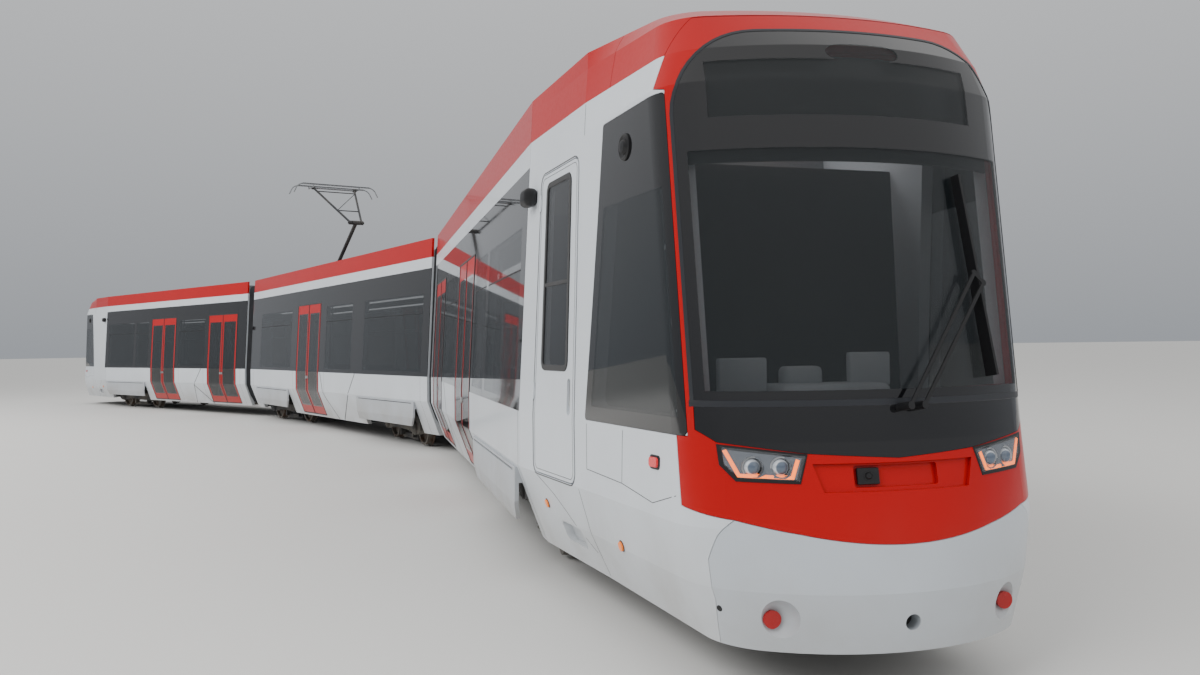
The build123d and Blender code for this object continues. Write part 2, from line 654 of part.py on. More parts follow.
def wheelset():
    """Axle with two flanged wheels, turned about the Y axis."""
    half = [
        (0, 0), (0, axle_r), (wheel_back - 20, axle_r), (wheel_back - 20, 110), (wheel_back + 30, 120),
        (wheel_back + 38, 240), (wheel_back, 262), (wheel_back, flange_r - 12), (wheel_back + 10, flange_r),
        (wheel_back + flange_w - 10, flange_r - 6), (wheel_back + flange_w, tread_r),
        (wheel_back + wheel_w, tread_r - 4), (wheel_back + wheel_w, 262), (wheel_back + 72, 240),
        (wheel_back + 66, 120), (wheel_back + 110, 96), (wheel_back + 110, journal_r),
        (frame_y + frame_w + 10, journal_r), (frame_y + frame_w + 10, 0)]
    face = make_face(Polyline(*[(radius, y) for y, radius in half], close=True))
    right = revolve(face, Axis.Y)
    return right + mirror(right, about=Plane.XZ)


def bogie_frame():
    """Outside-bearing bogie frame with springs, track brakes and the kingpin hole."""
    axle_x, axle_z = wheelbase / 2, flange_r
    beam = [(-1180, 300), (-1180, 450), (-1060, 545), (-740, 545), (-470, 410), (470, 410), (740, 545),
            (1060, 545), (1180, 450), (1180, 300), (1060, 225), (740, 225), (560, 270), (-560, 270),
            (-740, 225), (-1060, 225)]
    side = side_prism(make_face(Polyline(*beam, close=True)), frame_y, frame_y + frame_w)
    for x in (-axle_x, axle_x):
        box = Pos(x, frame_y + frame_w, axle_z) * Rotation(90, 0, 0)
        side += box * Cylinder(118, 36, align=(Align.CENTER, Align.CENTER, Align.CENTER))
    spring = Pos(0, frame_y + frame_w / 2, 410) * Cylinder(105, 270, align=(Align.CENTER, Align.CENTER, Align.MIN))
    for ring in (470, 540, 610):
        spring += Pos(0, frame_y + frame_w / 2, ring) * Cylinder(120, 36)
    side += spring
    brake = block(-480, 480, 715, 785, 80, 165)
    for x in (-380, 380):
        brake += block(x - 30, x + 30, 735, 860, 120, 300)
    side += brake
    for x in (-axle_x, axle_x):
        hole = Pos(x, frame_y + frame_w / 2, axle_z) * Rotation(90, 0, 0)
        side -= hole * Cylinder(journal_r + running, 3 * frame_w)
    cross = block(-240, 240, -frame_y - 5, frame_y + 5, 235, 395)
    cross -= Pos(0, 0, 300) * Cylinder(kingpin_r + running, 400)
    return both_sides(side) + cross


# Articulation


def lower_beam(tip, rear):
    """Draw beam from a car's end to the pivot, ending in its round eye."""
    z0, z1 = (200, 240) if tip == "eye" else (150, 192)
    beam = block(0, rear, -230, 230, z0, z1)
    beam = beam + Pos(0, 0, (z0 + z1) / 2) * Cylinder(230, z1 - z0)
    beam += block(car_end + portal_t, rear, -230, 230, z0, floor_top - floor_t)
    return beam


def bellows(pivot, bend):
    """Folded gangway bellows between two car ends, bent about the pivot in their middle."""
    def ring(share, outset):
        heights = [bellows_foot] + [z for z, _ in body_section if bellows_foot < z < bellows_head] + [bellows_head]
        trim = outset
        half = [(half_at(z) - trim, z) for z in heights]
        points = half + [(-y, z) for y, z in reversed(half)]
        points = [(y, min(max(z, bellows_foot + outset), bellows_head - outset)) for y, z in points]
        return place(share, Plane.YZ * make_face(Polyline(*points, close=True)))

    def place(share, face):
        along = seat_gap - car_end + share * (gangway_length - 2 * seat_gap)
        return pivot * Rotation(0, 0, bend * share) * Pos(along, 0, 0) * face

    steps = 2 * bellows_folds
    outer = loft([ring(k / steps, bellows_valley if k % 2 else bellows_peak) for k in range(steps + 1)], ruled=True)
    way = rounded(-portal_half - 20, portal_half + 20, floor_top + 10, portal_head + 20, portal_r + 20)
    tunnel = loft([place(share, Plane.YZ * way) for share in (-0.001, 0.25, 0.5, 0.75, 1.001)], ruled=True)
    under = pivot * block(-gangway_length, gangway_length, -disc_r - 25, disc_r + 25, 0, floor_top + 20)
    return outer - tunnel - under


# Pantograph


def tilted(shape, degrees, x, z):
    """A piece drawn along +X, turned up by an angle about a cross axis and set in place."""
    return Pos(x, 0, z) * Rotation(0, -degrees, 0) * shape


def panto_base():
    """Base frame on four insulators, with the two bearing plates of the lower arm."""
    foot = cantrail_z
    frame = block(panto_x - 620, panto_x + 620, -420, -350, 3440, 3500)
    frame += block(panto_x - 620, panto_x + 620, 350, 420, 3440, 3500)
    for x in (panto_x - 620, panto_x - 60, panto_x + 560):
        frame += block(x, x + 60, -360, 360, 3440, 3500)
    for x in (panto_x - 540, panto_x + 540):
        for y in (-385, 385):
            frame += rod((x, y, foot), (x, y, 3445), 45)
            for z in (foot + 40, foot + 110, foot + 180):
                frame += Pos(x, y, z) * Cylinder(75, 22)
    for y in (-150, 150):
        plate = block(panto_x - 70, panto_x + 70, y - 12, y + 12, 3480, panto_z + 40)
        frame += block(panto_x - 90, panto_x + 90, y - 40, y + 40, 3480, 3510)
        frame += plate
    for y in (-150, 150):
        reach = sorted((y, math.copysign(360, y)))
        frame += block(panto_x - 90, panto_x + 90, *reach, 3450, 3500)
    bore = Pos(panto_x, 0, panto_z) * Rotation(90, 0, 0) * Cylinder(panto_shaft_r + running, 800)
    return frame - bore


def panto_lower_arm():
    """Single lower arm with its shaft at the base and the knee shaft at its tip."""
    arm = rod((0, 0, 0), (panto_arm, 0, 0), panto_tube_r)
    arm += rod((0, -185, 0), (0, 185, 0), panto_shaft_r)
    arm += rod((0, -110, 0), (0, 110, 0), 48)
    arm += rod((panto_arm, -185, 0), (panto_arm, 185, 0), panto_shaft_r)
    arm += rod((panto_arm, -95, 0), (panto_arm, 95, 0), 48)
    return tilted(arm, panto_angle, panto_x, panto_z)


def panto_upper_arm():
    """Forked upper arm: two tubes that spread from the knee to the head, with cross braces."""
    arm = rod((0, 130, 0), (panto_arm, panto_spread, 0), panto_upper_r)
    arm += rod((0, 105, 0), (0, 165, 0), 46)
    arm += rod((panto_arm, panto_spread - 35, 0), (panto_arm, panto_spread + 35, 0), 40)
    arm = both_sides(arm)
    for share in (0.34, 0.9):
        y = 130 + share * (panto_spread - 130)
        arm += rod((share * panto_arm, -y, 0), (share * panto_arm, y, 0), 12)
    cross_y = [130 + share * (panto_spread - 130) for share in (0.34, 0.9)]
    arm += rod((0.34 * panto_arm, -cross_y[0], 0), (0.9 * panto_arm, cross_y[1], 0), 8)
    for along, hole in ((0, panto_shaft_r), (panto_arm, 20)):
        arm -= Pos(along, 0, 0) * Rotation(90, 0, 0) * Cylinder(hole + running, 1400)
    knee_x = panto_x + panto_arm * math.cos(math.radians(panto_angle))
    knee_z = panto_z + panto_arm * math.sin(math.radians(panto_angle))
    return tilted(arm, 180 - panto_angle, knee_x, knee_z)


def panto_head():
    """Collector head: two contact strips with down-turned horns, carried on the head shaft."""
    top_z = panto_z + 2 * panto_arm * math.sin(math.radians(panto_angle))
    head = rod((0, -panto_spread - 60, 0), (0, panto_spread + 60, 0), 20)
    for y in (-panto_spread - 52, panto_spread + 52):
        head += block(-head_depth, head_depth, y - 8, y + 8, -14, 14)
        for x in (-head_depth, head_depth):
            head += block(x - 12, x + 12, y - 8, y + 8, -14, head_rise)
    for x in (-head_depth, head_depth):
        head += block(x - 25, x + 25, -head_half, head_half, head_rise - 14, head_rise + 14)
        for side in (-1, 1):
            bend = ThreePointArc((x, side * (head_half - 6), head_rise), (x, side * (head_half + 95), head_rise - 32),
                                 (x, side * (head_half + 165), head_rise - 115))
            tail = Line(bend @ 1, (x, side * (head_half + 215), head_rise - 215))
            start = Plane(origin=bend @ 0, z_dir=bend % 0)
            head += sweep(start * Circle(13), path=bend + tail)
    return Pos(panto_x, 0, top_z) * head


# Cars


def end_car(place):
    """All sub-parts of an end car in place, nose ahead of its pivot."""
    cab = Cab(place)
    body_end = cab_x - seam / 2
    walls = wall(car_end, body_end, end_doors, end_windows, [end_bogie_x])
    saloon_floor = floor_run(car_end, end_bogie_x - bogie_room - seat_gap)
    saloon_floor -= Pos(0, 0, floor_top) * Cylinder(disc_r + disc_gap, 3 * floor_t)
    saloon_floor += lower_beam("eye", 1100)
    saloon_floor -= Cylinder(pin_r + running, 800)
    rear_floor = floor_run(end_bogie_x + bogie_room + seat_gap, cab_x)
    socket_x = front_face_x(tow_y, tow_z - tow_r - 22) - wall_t - seam
    socket = Pos(socket_x, tow_y, tow_z) * Rotation(0, 90, 0) * Cylinder(
        tow_r + 22, tow_length, align=(Align.CENTER, Align.CENTER, Align.MAX))
    socket += block(socket_x - tow_length, socket_x - 40, -120, 120, floor_top - floor_t, tow_z)
    socket -= Pos(socket_x + 1, tow_y, tow_z) * Rotation(0, 90, 0) * Cylinder(
        tow_r, tow_length + 1, align=(Align.CENTER, Align.CENTER, Align.MAX))
    for y in (-850, 850):
        saloon_floor += jacking_pad(end_bogie_x - 1700, y)
        rear_floor += jacking_pad(end_bogie_x + 1700, y)
    roof = roof_beam(car_end + portal_t + seat_gap, cab_x - 20)
    for x0, x1, half in ((1100, 3300, 820), (4300, 6500, 760), (7300, 8900, 700)):
        roof += roof_unit(x0, x1, half, 3455, 270)
    doors = []
    panes = []
    for d0, d1 in end_doors:
        doors += double_door(d0, d1)
        panes += door_panes(d0, d1)
    panes += band_glass(car_end, body_end, end_doors)
    cover = apron(end_bogie_x)
    seats = seats_over(end_bogie_x) + seats_between(end_doors[0][1] + 160, end_doors[1][0] - 160)
    straight = {
        "floor": [saloon_floor] + bogie_tunnel(end_bogie_x),
        "walls": [walls, portal(car_end)],
        "roof": [roof],
        "fairing": [fairing(car_end + 20, cab_x - seam / 2)],
        "glazing": panes + [mirror(pane, about=Plane.XZ) for pane in panes],
        "doors": doors + [mirror(leaf, about=Plane.XZ) for leaf in doors],
        "aprons": [cover, mirror(cover, about=Plane.XZ)],
        "interior": seats + cab_furniture()}
    parts = {name: solids_of(*shapes, place=place) for name, shapes in straight.items()}
    cab_floor = cab.floor() + place * rear_floor + place * socket
    parts["floor"] = solids_of(parts["floor"], cab_floor)
    parts["walls"] = solids_of(parts["walls"], cab.sides())
    parts["fairing"] = solids_of(parts["fairing"], *cab.fairing())
    parts["glazing"] = solids_of(parts["glazing"], cab.side_panes(), cab.nose_panel())
    parts["windscreen"] = cab.windscreen()
    parts["nose"] = cab.nose()
    parts["wiper"] = cab.wiper()
    parts["bumper"] = cab.bumper()
    parts["lamps"] = solids_of(*cab.lamps())
    parts["cab_door"] = cab.door()
    parts["cab_door_pane"] = cab.door_pane()
    return parts


def centre_car(place):
    """All sub-parts of the centre car in place, about its middle."""
    end = pivot_spacing / 2 - car_end
    bogies = [-centre_bogie_x, centre_bogie_x]
    walls = wall(-end, end, centre_doors, centre_windows, bogies)
    run = centre_bogie_x + bogie_room + seat_gap
    middle = centre_bogie_x - bogie_room - seat_gap
    floors = [floor_run(-middle, middle)]
    for side, centre in zip((-1, 1), bogies):
        floors += bogie_tunnel(centre)
        start, stop = sorted((side * run, side * (pivot_spacing / 2 - 200)))
        floor = floor_run(start, stop) & block(start, stop, -disc_r, disc_r, 0, 1000)
        inner, outer = sorted((side * run, side * end))
        floor += floor_run(inner, outer)
        pivot = Pos(side * pivot_spacing / 2, 0, 0)
        floor += pivot * Pos(0, 0, floor_top - disc_t / 2) * Cylinder(disc_r, disc_t)
        beam = lower_beam("pin", 1100)
        if side > 0:
            beam = mirror(beam, about=Plane.YZ)
        floor += pivot * beam
        floor += pivot * Pos(0, 0, 150) * Cylinder(pin_r, 130, align=(Align.CENTER, Align.CENTER, Align.MIN))
        floors.append(floor)
        for y in (-850, 850):
            floors[0] += jacking_pad(side * (centre_bogie_x - 1700), y)
    roof = roof_beam(-end + portal_t + seat_gap, end - portal_t - seat_gap)
    for x0, x1, half in ((-5200, -4100, 700), (-1500, 900, 820), (1700, 4600, 760)):
        roof += roof_unit(x0, x1, half, 3430, 240)
    doors = []
    panes = []
    for d0, d1 in centre_doors:
        doors += double_door(d0, d1)
        panes += door_panes(d0, d1)
    panes += band_glass(-end, end, centre_doors)
    covers = [apron(centre) for centre in bogies]
    seats = [seat for centre in bogies for seat in seats_over(centre)]
    straight = {
        "floor": floors,
        "walls": [walls, portal(-end), portal(end - portal_t)],
        "roof": [roof],
        "fairing": [fairing(-end + 20, end - 20)],
        "glazing": panes + [mirror(pane, about=Plane.XZ) for pane in panes],
        "doors": doors + [mirror(leaf, about=Plane.XZ) for leaf in doors],
        "aprons": covers + [mirror(cover, about=Plane.XZ) for cover in covers],
        "interior": seats}
    return {name: solids_of(*shapes, place=place) for name, shapes in straight.items()}


# Assembly on the curve: the origin is the middle of the footprint, on the plane the wheels stand on

curve_places = {
    "front": Location((pivot_spacing / 2, 0, 0), (0, 0, front_bend)),
    "rear": Location((-pivot_spacing / 2, 0, 0), (0, 0, 180 + rear_bend)),
    "centre": Location((0, 0, 0))}
outlines = [curve_places[car] * cab_outline(level, 0, cab_x) for car in ("front", "rear") for level in cab_levels]
boxes = [outline.bounding_box() for outline in outlines]
middle_x = (min(box.min.X for box in boxes) + max(box.max.X for box in boxes)) / 2
middle_y = (min(box.min.Y for box in boxes) + apron_out) / 2
origin = Location((-middle_x, -middle_y, 0))
car_places = {car: origin * place for car, place in curve_places.items()}

nodes = {}
for car in ("front", "rear"):
    for name, shape in end_car(car_places[car]).items():
        nodes[f"{car}_{name}"] = shape
for name, shape in centre_car(car_places["centre"]).items():
    nodes[f"centre_{name}"] = shape
for name, shape in (("base", panto_base()), ("lower_arm", panto_lower_arm()),
                    ("upper_arm", panto_upper_arm()), ("head", panto_head())):
    nodes[f"pantograph_{name}"] = solids_of(shape, place=car_places["centre"])
nodes["front_bellows"] = bellows(origin * Location((pivot_spacing / 2, 0, 0)), front_bend)
nodes["rear_bellows"] = bellows(origin * Location((-pivot_spacing / 2, 0, 0), (0, 0, 180)), rear_bend)

bogie_places = {
    "front": car_places["front"] * Location((end_bogie_x, 0, 0), (0, 0, bogie_yaws["front"])),
    "centre_lead": car_places["centre"] * Location((centre_bogie_x, 0, 0), (0, 0, bogie_yaws["centre_lead"])),
    "centre_trail": car_places["centre"] * Location((-centre_bogie_x, 0, 0), (0, 0, bogie_yaws["centre_trail"])),
    "rear": car_places["rear"] * Location((end_bogie_x, 0, 0), (0, 0, bogie_yaws["rear"]))}
frame_shape = bogie_frame()
wheel_shape = wheelset()
for bogie, place in bogie_places.items():
    nodes[f"{bogie}_bogie"] = solids_of(frame_shape, place=place)
    for number, x in ((1, wheelbase / 2), (2, -wheelbase / 2)):
        nodes[f"{bogie}_wheelset_{number}"] = solids_of(wheel_shape, place=place * Pos(x, 0, flange_r))

os.makedirs("parts", exist_ok=True)
for name, shape in nodes.items():
    export_step(shape, f"parts/{name}.step")
box = Compound([solid for shape in nodes.values() for solid in shape.solids()]).bounding_box()
print(f"origin {-middle_x:.3f} {-middle_y:.3f}")
print(f"box {box.min.X:.2f} {box.min.Y:.2f} {box.min.Z:.2f} to {box.max.X:.2f} {box.max.Y:.2f} {box.max.Z:.2f}")
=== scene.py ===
import json
import math

import bmesh
import bpy
from mathutils import Matrix, Vector
from mathutils.bvhtree import BVHTree

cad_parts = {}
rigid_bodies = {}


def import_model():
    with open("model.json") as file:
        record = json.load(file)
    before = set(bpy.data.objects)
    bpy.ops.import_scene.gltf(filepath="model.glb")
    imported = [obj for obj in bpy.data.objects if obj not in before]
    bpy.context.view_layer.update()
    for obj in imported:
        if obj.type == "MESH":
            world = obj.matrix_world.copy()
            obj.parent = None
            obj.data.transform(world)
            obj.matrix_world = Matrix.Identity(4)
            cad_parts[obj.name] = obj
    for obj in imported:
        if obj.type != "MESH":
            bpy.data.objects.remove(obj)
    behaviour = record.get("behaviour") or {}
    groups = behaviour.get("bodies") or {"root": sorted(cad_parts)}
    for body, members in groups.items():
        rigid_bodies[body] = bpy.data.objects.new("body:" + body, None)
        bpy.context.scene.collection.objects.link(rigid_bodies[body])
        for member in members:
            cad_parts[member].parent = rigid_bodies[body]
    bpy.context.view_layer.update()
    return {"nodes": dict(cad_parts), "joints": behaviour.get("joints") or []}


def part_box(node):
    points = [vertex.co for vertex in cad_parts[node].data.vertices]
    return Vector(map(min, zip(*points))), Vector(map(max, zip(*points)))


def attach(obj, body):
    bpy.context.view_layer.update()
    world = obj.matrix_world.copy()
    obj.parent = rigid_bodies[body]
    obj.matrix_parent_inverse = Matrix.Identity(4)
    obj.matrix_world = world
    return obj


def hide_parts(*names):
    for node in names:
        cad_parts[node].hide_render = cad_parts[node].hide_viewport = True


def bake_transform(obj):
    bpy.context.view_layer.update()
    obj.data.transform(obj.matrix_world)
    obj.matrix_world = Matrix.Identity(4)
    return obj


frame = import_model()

nodes = frame["nodes"]
joints = {joint["name"]: joint for joint in frame["joints"]}
print("frame loaded:", len(nodes), "nodes")


# Cars: each has a straight frame, +X towards its cab, turned on the curve at its pivot
def pivotOf(name):
    return Vector(joints[name + "_articulation"]["pos_m"])


def bendOf(name):  # degrees between the centre car and this one, at rest
    low, high = joints[name + "_articulation"]["range_deg"]
    return -(low + high) / 2


class Car:
    def __init__(self, name, origin, turn):
        self.name, self.turn = name, math.radians(turn)
        self.kind = "centre" if name == "centre" else "end"
        self.body = name + "_car"
        self.origin = Vector((origin.x, origin.y, 0))
        self.matrix = Matrix.Translation(self.origin) @ Matrix.Rotation(self.turn, 4, "Z")

    def at(self, x, y, z):
        return self.matrix @ Vector((x, y, z))

    def way(self, x, y, z):
        return self.matrix.to_3x3() @ Vector((x, y, z))

    def seat(self, x, y, z):  # a matrix at a point, turned as the car is
        return Matrix.Translation(self.at(x, y, z)) @ self.matrix.to_3x3().to_4x4()

    def local(self, point):
        return self.matrix.inverted() @ Vector(point)


front = Car("front", pivotOf("front"), bendOf("front"))
rear = Car("rear", pivotOf("rear"), 180 + bendOf("rear"))
centre = Car("centre", (pivotOf("front") + pivotOf("rear")) / 2, 0)
ends = (front, rear)
cars = (front, centre, rear)


# The body section: height and half width at each bend line
bodySection = (
    (0.28, 1.12), (0.56, 1.2225), (0.84, 1.325), (1.24, 1.322),
    (3.01, 1.215), (3.19, 1.204), (3.4, 1.191), (3.5, 1.185))


def halfAt(z):  # half width and its slope at a height
    for (z0, y0), (z1, y1) in zip(bodySection, bodySection[1:]):
        if z <= z1:
            return y0 + (y1 - y0) * (z - z0) / (z1 - z0), (y1 - y0) / (z1 - z0)
    return bodySection[-1][1], 0


# Charts lay flat drawings on the tram: each turns two lengths into a point and its outward normal
def sideChart(car, side, flat=None):  # flat: one half width at all heights
    def place(x, z):
        half, lean = (flat, 0) if flat else halfAt(z)
        return car.at(x, side * half, z), car.way(0, side, -lean).normalized()
    return place


rayLook = {"side": 3, "ahead": 14, "miss": 2}  # where rays start, and how far one goes that misses


class Skin:  # the outer faces of some nodes, found by rays
    def __init__(self, car, *names):
        self.car = car
        points, faces = [], []
        for name in names:
            mesh = nodes[car.name + "_" + name].data
            start = len(points)
            points += [vertex.co.copy() for vertex in mesh.vertices]
            faces += [[index + start for index in face.vertices] for face in mesh.polygons]
        self.tree = BVHTree.FromPolygons(points, faces)

    def cast(self, start, way):
        point, normal, _, _ = self.tree.ray_cast(start, way)
        if not point:
            return start + way * rayLook["miss"], -way
        return point, normal if normal.dot(way) < 0 else -normal

    def side(self, side):
        return lambda x, z: self.cast(self.car.at(x, side * rayLook["side"], z), self.car.way(0, -side, 0))

    def front(self):
        return lambda y, z: self.cast(self.car.at(rayLook["ahead"], y, z), self.car.way(-1, 0, 0))


# Shapes: each gives its points and faces, and piece() makes one object of several
edgeLook = {
    "steep": 0.1, "clear": 0.01,  # lines rising this much get points on the body's bends
    "sunk": -0.001, "shoulder": 0.8,  # a band's edges lie under the surface, and its top is this share of it
    "step": 0.05, "rise": 0.6, "rings": (0.93, 0.6, 0.25)}  # a plate's points, rim and inner rings


def refine(line, step, closed):
    points = []
    for (u0, v0), (u1, v1) in zip(line, line[1:] + line[:1] if closed else line[1:]):
        count = max(1, math.ceil(math.hypot(u1 - u0, v1 - v0) / step))
        shares = {round(i / count, 3) for i in range(count)}
        if abs(v1 - v0) > edgeLook["steep"]:
            bends = [(z - v0) / (v1 - v0) for z, _ in bodySection]
            clear = edgeLook["clear"]
            shares |= {round(share, 3) for share in bends if clear < share < 1 - clear}
        points += [(u0 + (u1 - u0) * share, v0 + (v1 - v0) * share) for share in sorted(shares)]
    return points if closed else points + [line[-1]]


def rings(count, size, closed=False):  # faces between loops of points, one after another
    faces = []
    for i in range(count if closed else count - 1):
        here, after = i * size, (i + 1) % count * size
        faces += [(here + k, here + (k + 1) % size, after + (k + 1) % size, after + k) for k in range(size)]
    return faces


def strip(count, size, closed=False):  # the same, with both ends shut where it is open
    if closed:
        return rings(count, size, True)
    return rings(count, size) + [tuple(reversed(range(size))), tuple(range(size * (count - 1), size * count))]


def neighbours(points, i, closed):  # the points before and after one, or itself at an open end
    count = len(points)
    before = points[i - 1] if closed or i else points[i]
    return before, points[(i + 1) % count] if closed or i + 1 < count else points[i]


def band(chart, line, width, lift=0.002, closed=False, step=0.08):
    points = [Vector(point) for point in refine(list(line), step, closed)]
    sunk, shoulder = edgeLook["sunk"], edgeLook["shoulder"]
    section = ((-1, sunk), (-shoulder, lift), (shoulder, lift), (1, sunk))
    verts = []
    for i, here in enumerate(points):
        before, after = neighbours(points, i, closed)
        first = (here - before if before != here else after - here).normalized()
        second = (after - here if after != here else here - before).normalized()
        middle = (first + second).normalized()
        across = Vector((-middle.y, middle.x)) * (width / 2 / max(middle.dot(first), 0.5))
        for share, height in section:
            spot, normal = chart(*(here + across * share))
            verts.append(spot + normal * height)
    return verts, strip(len(points), len(section), closed)


def plate(chart, outline, lift):
    points = refine(list(outline), edgeLook["step"], True)
    count = len(points)
    middle = Vector((sum(p[0] for p in points), sum(p[1] for p in points))) / count
    loops = [(1, edgeLook["sunk"]), (1, lift * edgeLook["rise"])]
    loops += [(scale, lift) for scale in edgeLook["rings"]]
    verts = []
    for scale, height in loops:
        for point in points:
            spot, normal = chart(*(middle + (Vector(point) - middle) * scale))
            verts.append(spot + normal * height)
    spot, normal = chart(*middle)
    verts.append(spot + normal * lift)
    last = (len(loops) - 1) * count
    fan = [(last + (i + 1) % count, last + i, last + count) for i in range(count)]
    return verts, rings(len(loops), count) + fan


def disc(u, v, radius, count=20):
    turns = [math.tau * i / count for i in range(count)]
    return [(u + radius * math.cos(turn), v + radius * math.sin(turn)) for turn in turns]


def roundBox(u0, u1, v0, v1, radius, steps=4):  # a rounded rectangle's outline
    points = []
    for u, v, turn in ((u1 - radius, v1 - radius, 0), (u0 + radius, v1 - radius, 1),
                       (u0 + radius, v0 + radius, 2), (u1 - radius, v0 + radius, 3)):
        for i in range(steps + 1):
            angle = (turn + i / steps) * math.pi / 2
            points.append((u + radius * math.cos(angle), v + radius * math.sin(angle)))
    return points


def around(box, out, radius):  # the same, that much outside a box
    u0, u1, v0, v1 = box
    return roundBox(u0 - out, u1 + out, v0 - out, v1 + out, radius)


def tube(points, radius, sides, closed=False):
    points = [Vector(point) for point in points]
    verts, across = [], None
    for i, point in enumerate(points):
        before, after = neighbours(points, i, closed)
        way = (after - before).normalized()
        if across is None:
            across = way.orthogonal().normalized()
        across = (across - way * across.dot(way)).normalized()
        other = way.cross(across)
        for k in range(sides):
            angle = math.tau * k / sides
            verts.append(point + (across * math.cos(angle) + other * math.sin(angle)) * radius)
    return verts, strip(len(points), sides, closed)


def lathe(matrix, profile, steps=32):  # a profile of (radius, height), turned about the matrix's Z axis
    verts = []
    for i in range(steps):
        angle = math.tau * i / steps
        verts += [matrix @ Vector((r * math.cos(angle), r * math.sin(angle), h)) for r, h in profile]
    size = len(profile)
    faces = [(i * size + k, (i + 1) % steps * size + k, (i + 1) % steps * size + k + 1, i * size + k + 1)
             for i in range(steps) for k in range(size - 1)]
    return verts, faces


def slab(matrix, size, edge, segments=3):  # a box with rounded edges
    shape = bmesh.new()
    bmesh.ops.create_cube(shape, size=1, matrix=Matrix.Diagonal((*size, 1)))
    bmesh.ops.bevel(shape, geom=shape.edges[:], offset=edge, segments=segments, profile=0.5, affect="EDGES")
    shape.verts.index_update()
    verts = [matrix @ vertex.co for vertex in shape.verts]
    faces = [tuple(vertex.index for vertex in face.verts) for face in shape.faces]
    shape.free()
    return verts, faces


def facing(point, normal):  # a matrix at a point with Z along its normal and Y upwards
    across = Vector((0, 0, 1)).cross(normal).normalized()
    return Matrix.Translation(point) @ Matrix((across, normal.cross(across), normal)).transposed().to_4x4()


def placed(name, data):
    thing = bpy.data.objects.new(name, data)
    bpy.context.collection.objects.link(thing)
    return thing


def piece(name, body, finish, *shapes, smooth=38):
    mesh = bpy.data.meshes.new(name)
    points, faces = [], []
    for verts, polygons in shapes:
        start = len(points)
        points += verts
        faces += [[index + start for index in polygon] for polygon in polygons]
    mesh.from_pydata([tuple(point) for point in points], [], faces)
    shape = bmesh.new()
    shape.from_mesh(mesh)
    bmesh.ops.remove_doubles(shape, verts=shape.verts[:], dist=1e-5)
    bmesh.ops.recalc_face_normals(shape, faces=shape.faces[:])
    shape.to_mesh(mesh)
    shape.free()
    mesh.polygons.foreach_set("use_smooth", [True] * len(mesh.polygons))
    mesh.set_sharp_from_angle(angle=math.radians(smooth))
    mesh.materials.append(finish)
    thing = placed(name, mesh)
    if body:
        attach(thing, body)
    return thing


def carPieces(car, *rows):  # rows: name, finish, shapes
    for name, finish, shapes in rows:
        piece(car.name + name, car.body, finish, *shapes)


# Shader maths: a wire is one output socket, and arithmetic on it adds Math nodes
def maths(operation, swap=False):  # swap: the wire is the second value, as in 1 - mask
    def apply(self, *other):
        values = (*other, self) if swap else (self, *other)
        return self.finish.node("ShaderNodeMath", {"operation": operation}, dict(enumerate(values)))
    return apply


class Wire:
    def __init__(self, finish, socket):
        self.finish, self.socket = finish, socket

    __add__, __radd__ = maths("ADD"), maths("ADD", True)
    __sub__, __rsub__ = maths("SUBTRACT"), maths("SUBTRACT", True)
    __mul__, __rmul__ = maths("MULTIPLY"), maths("MULTIPLY", True)
    __truediv__, __rtruediv__ = maths("DIVIDE"), maths("DIVIDE", True)
    __and__, __or__ = maths("MINIMUM"), maths("MAXIMUM")  # both masks, or either
    __gt__, __lt__ = maths("GREATER_THAN"), maths("LESS_THAN")
    __abs__, sine = maths("ABSOLUTE"), maths("SINE")

    def spread(self, low, high):  # 0 below low, 1 above high, smooth between
        return self.finish.node("ShaderNodeMapRange", {"interpolation_type": "SMOOTHSTEP"}, {
            "Value": self, "From Min": low, "From Max": high})

    def between(self, low, high, soft):
        return self.spread(low - soft, low + soft) & (1 - self.spread(high - soft, high + soft))


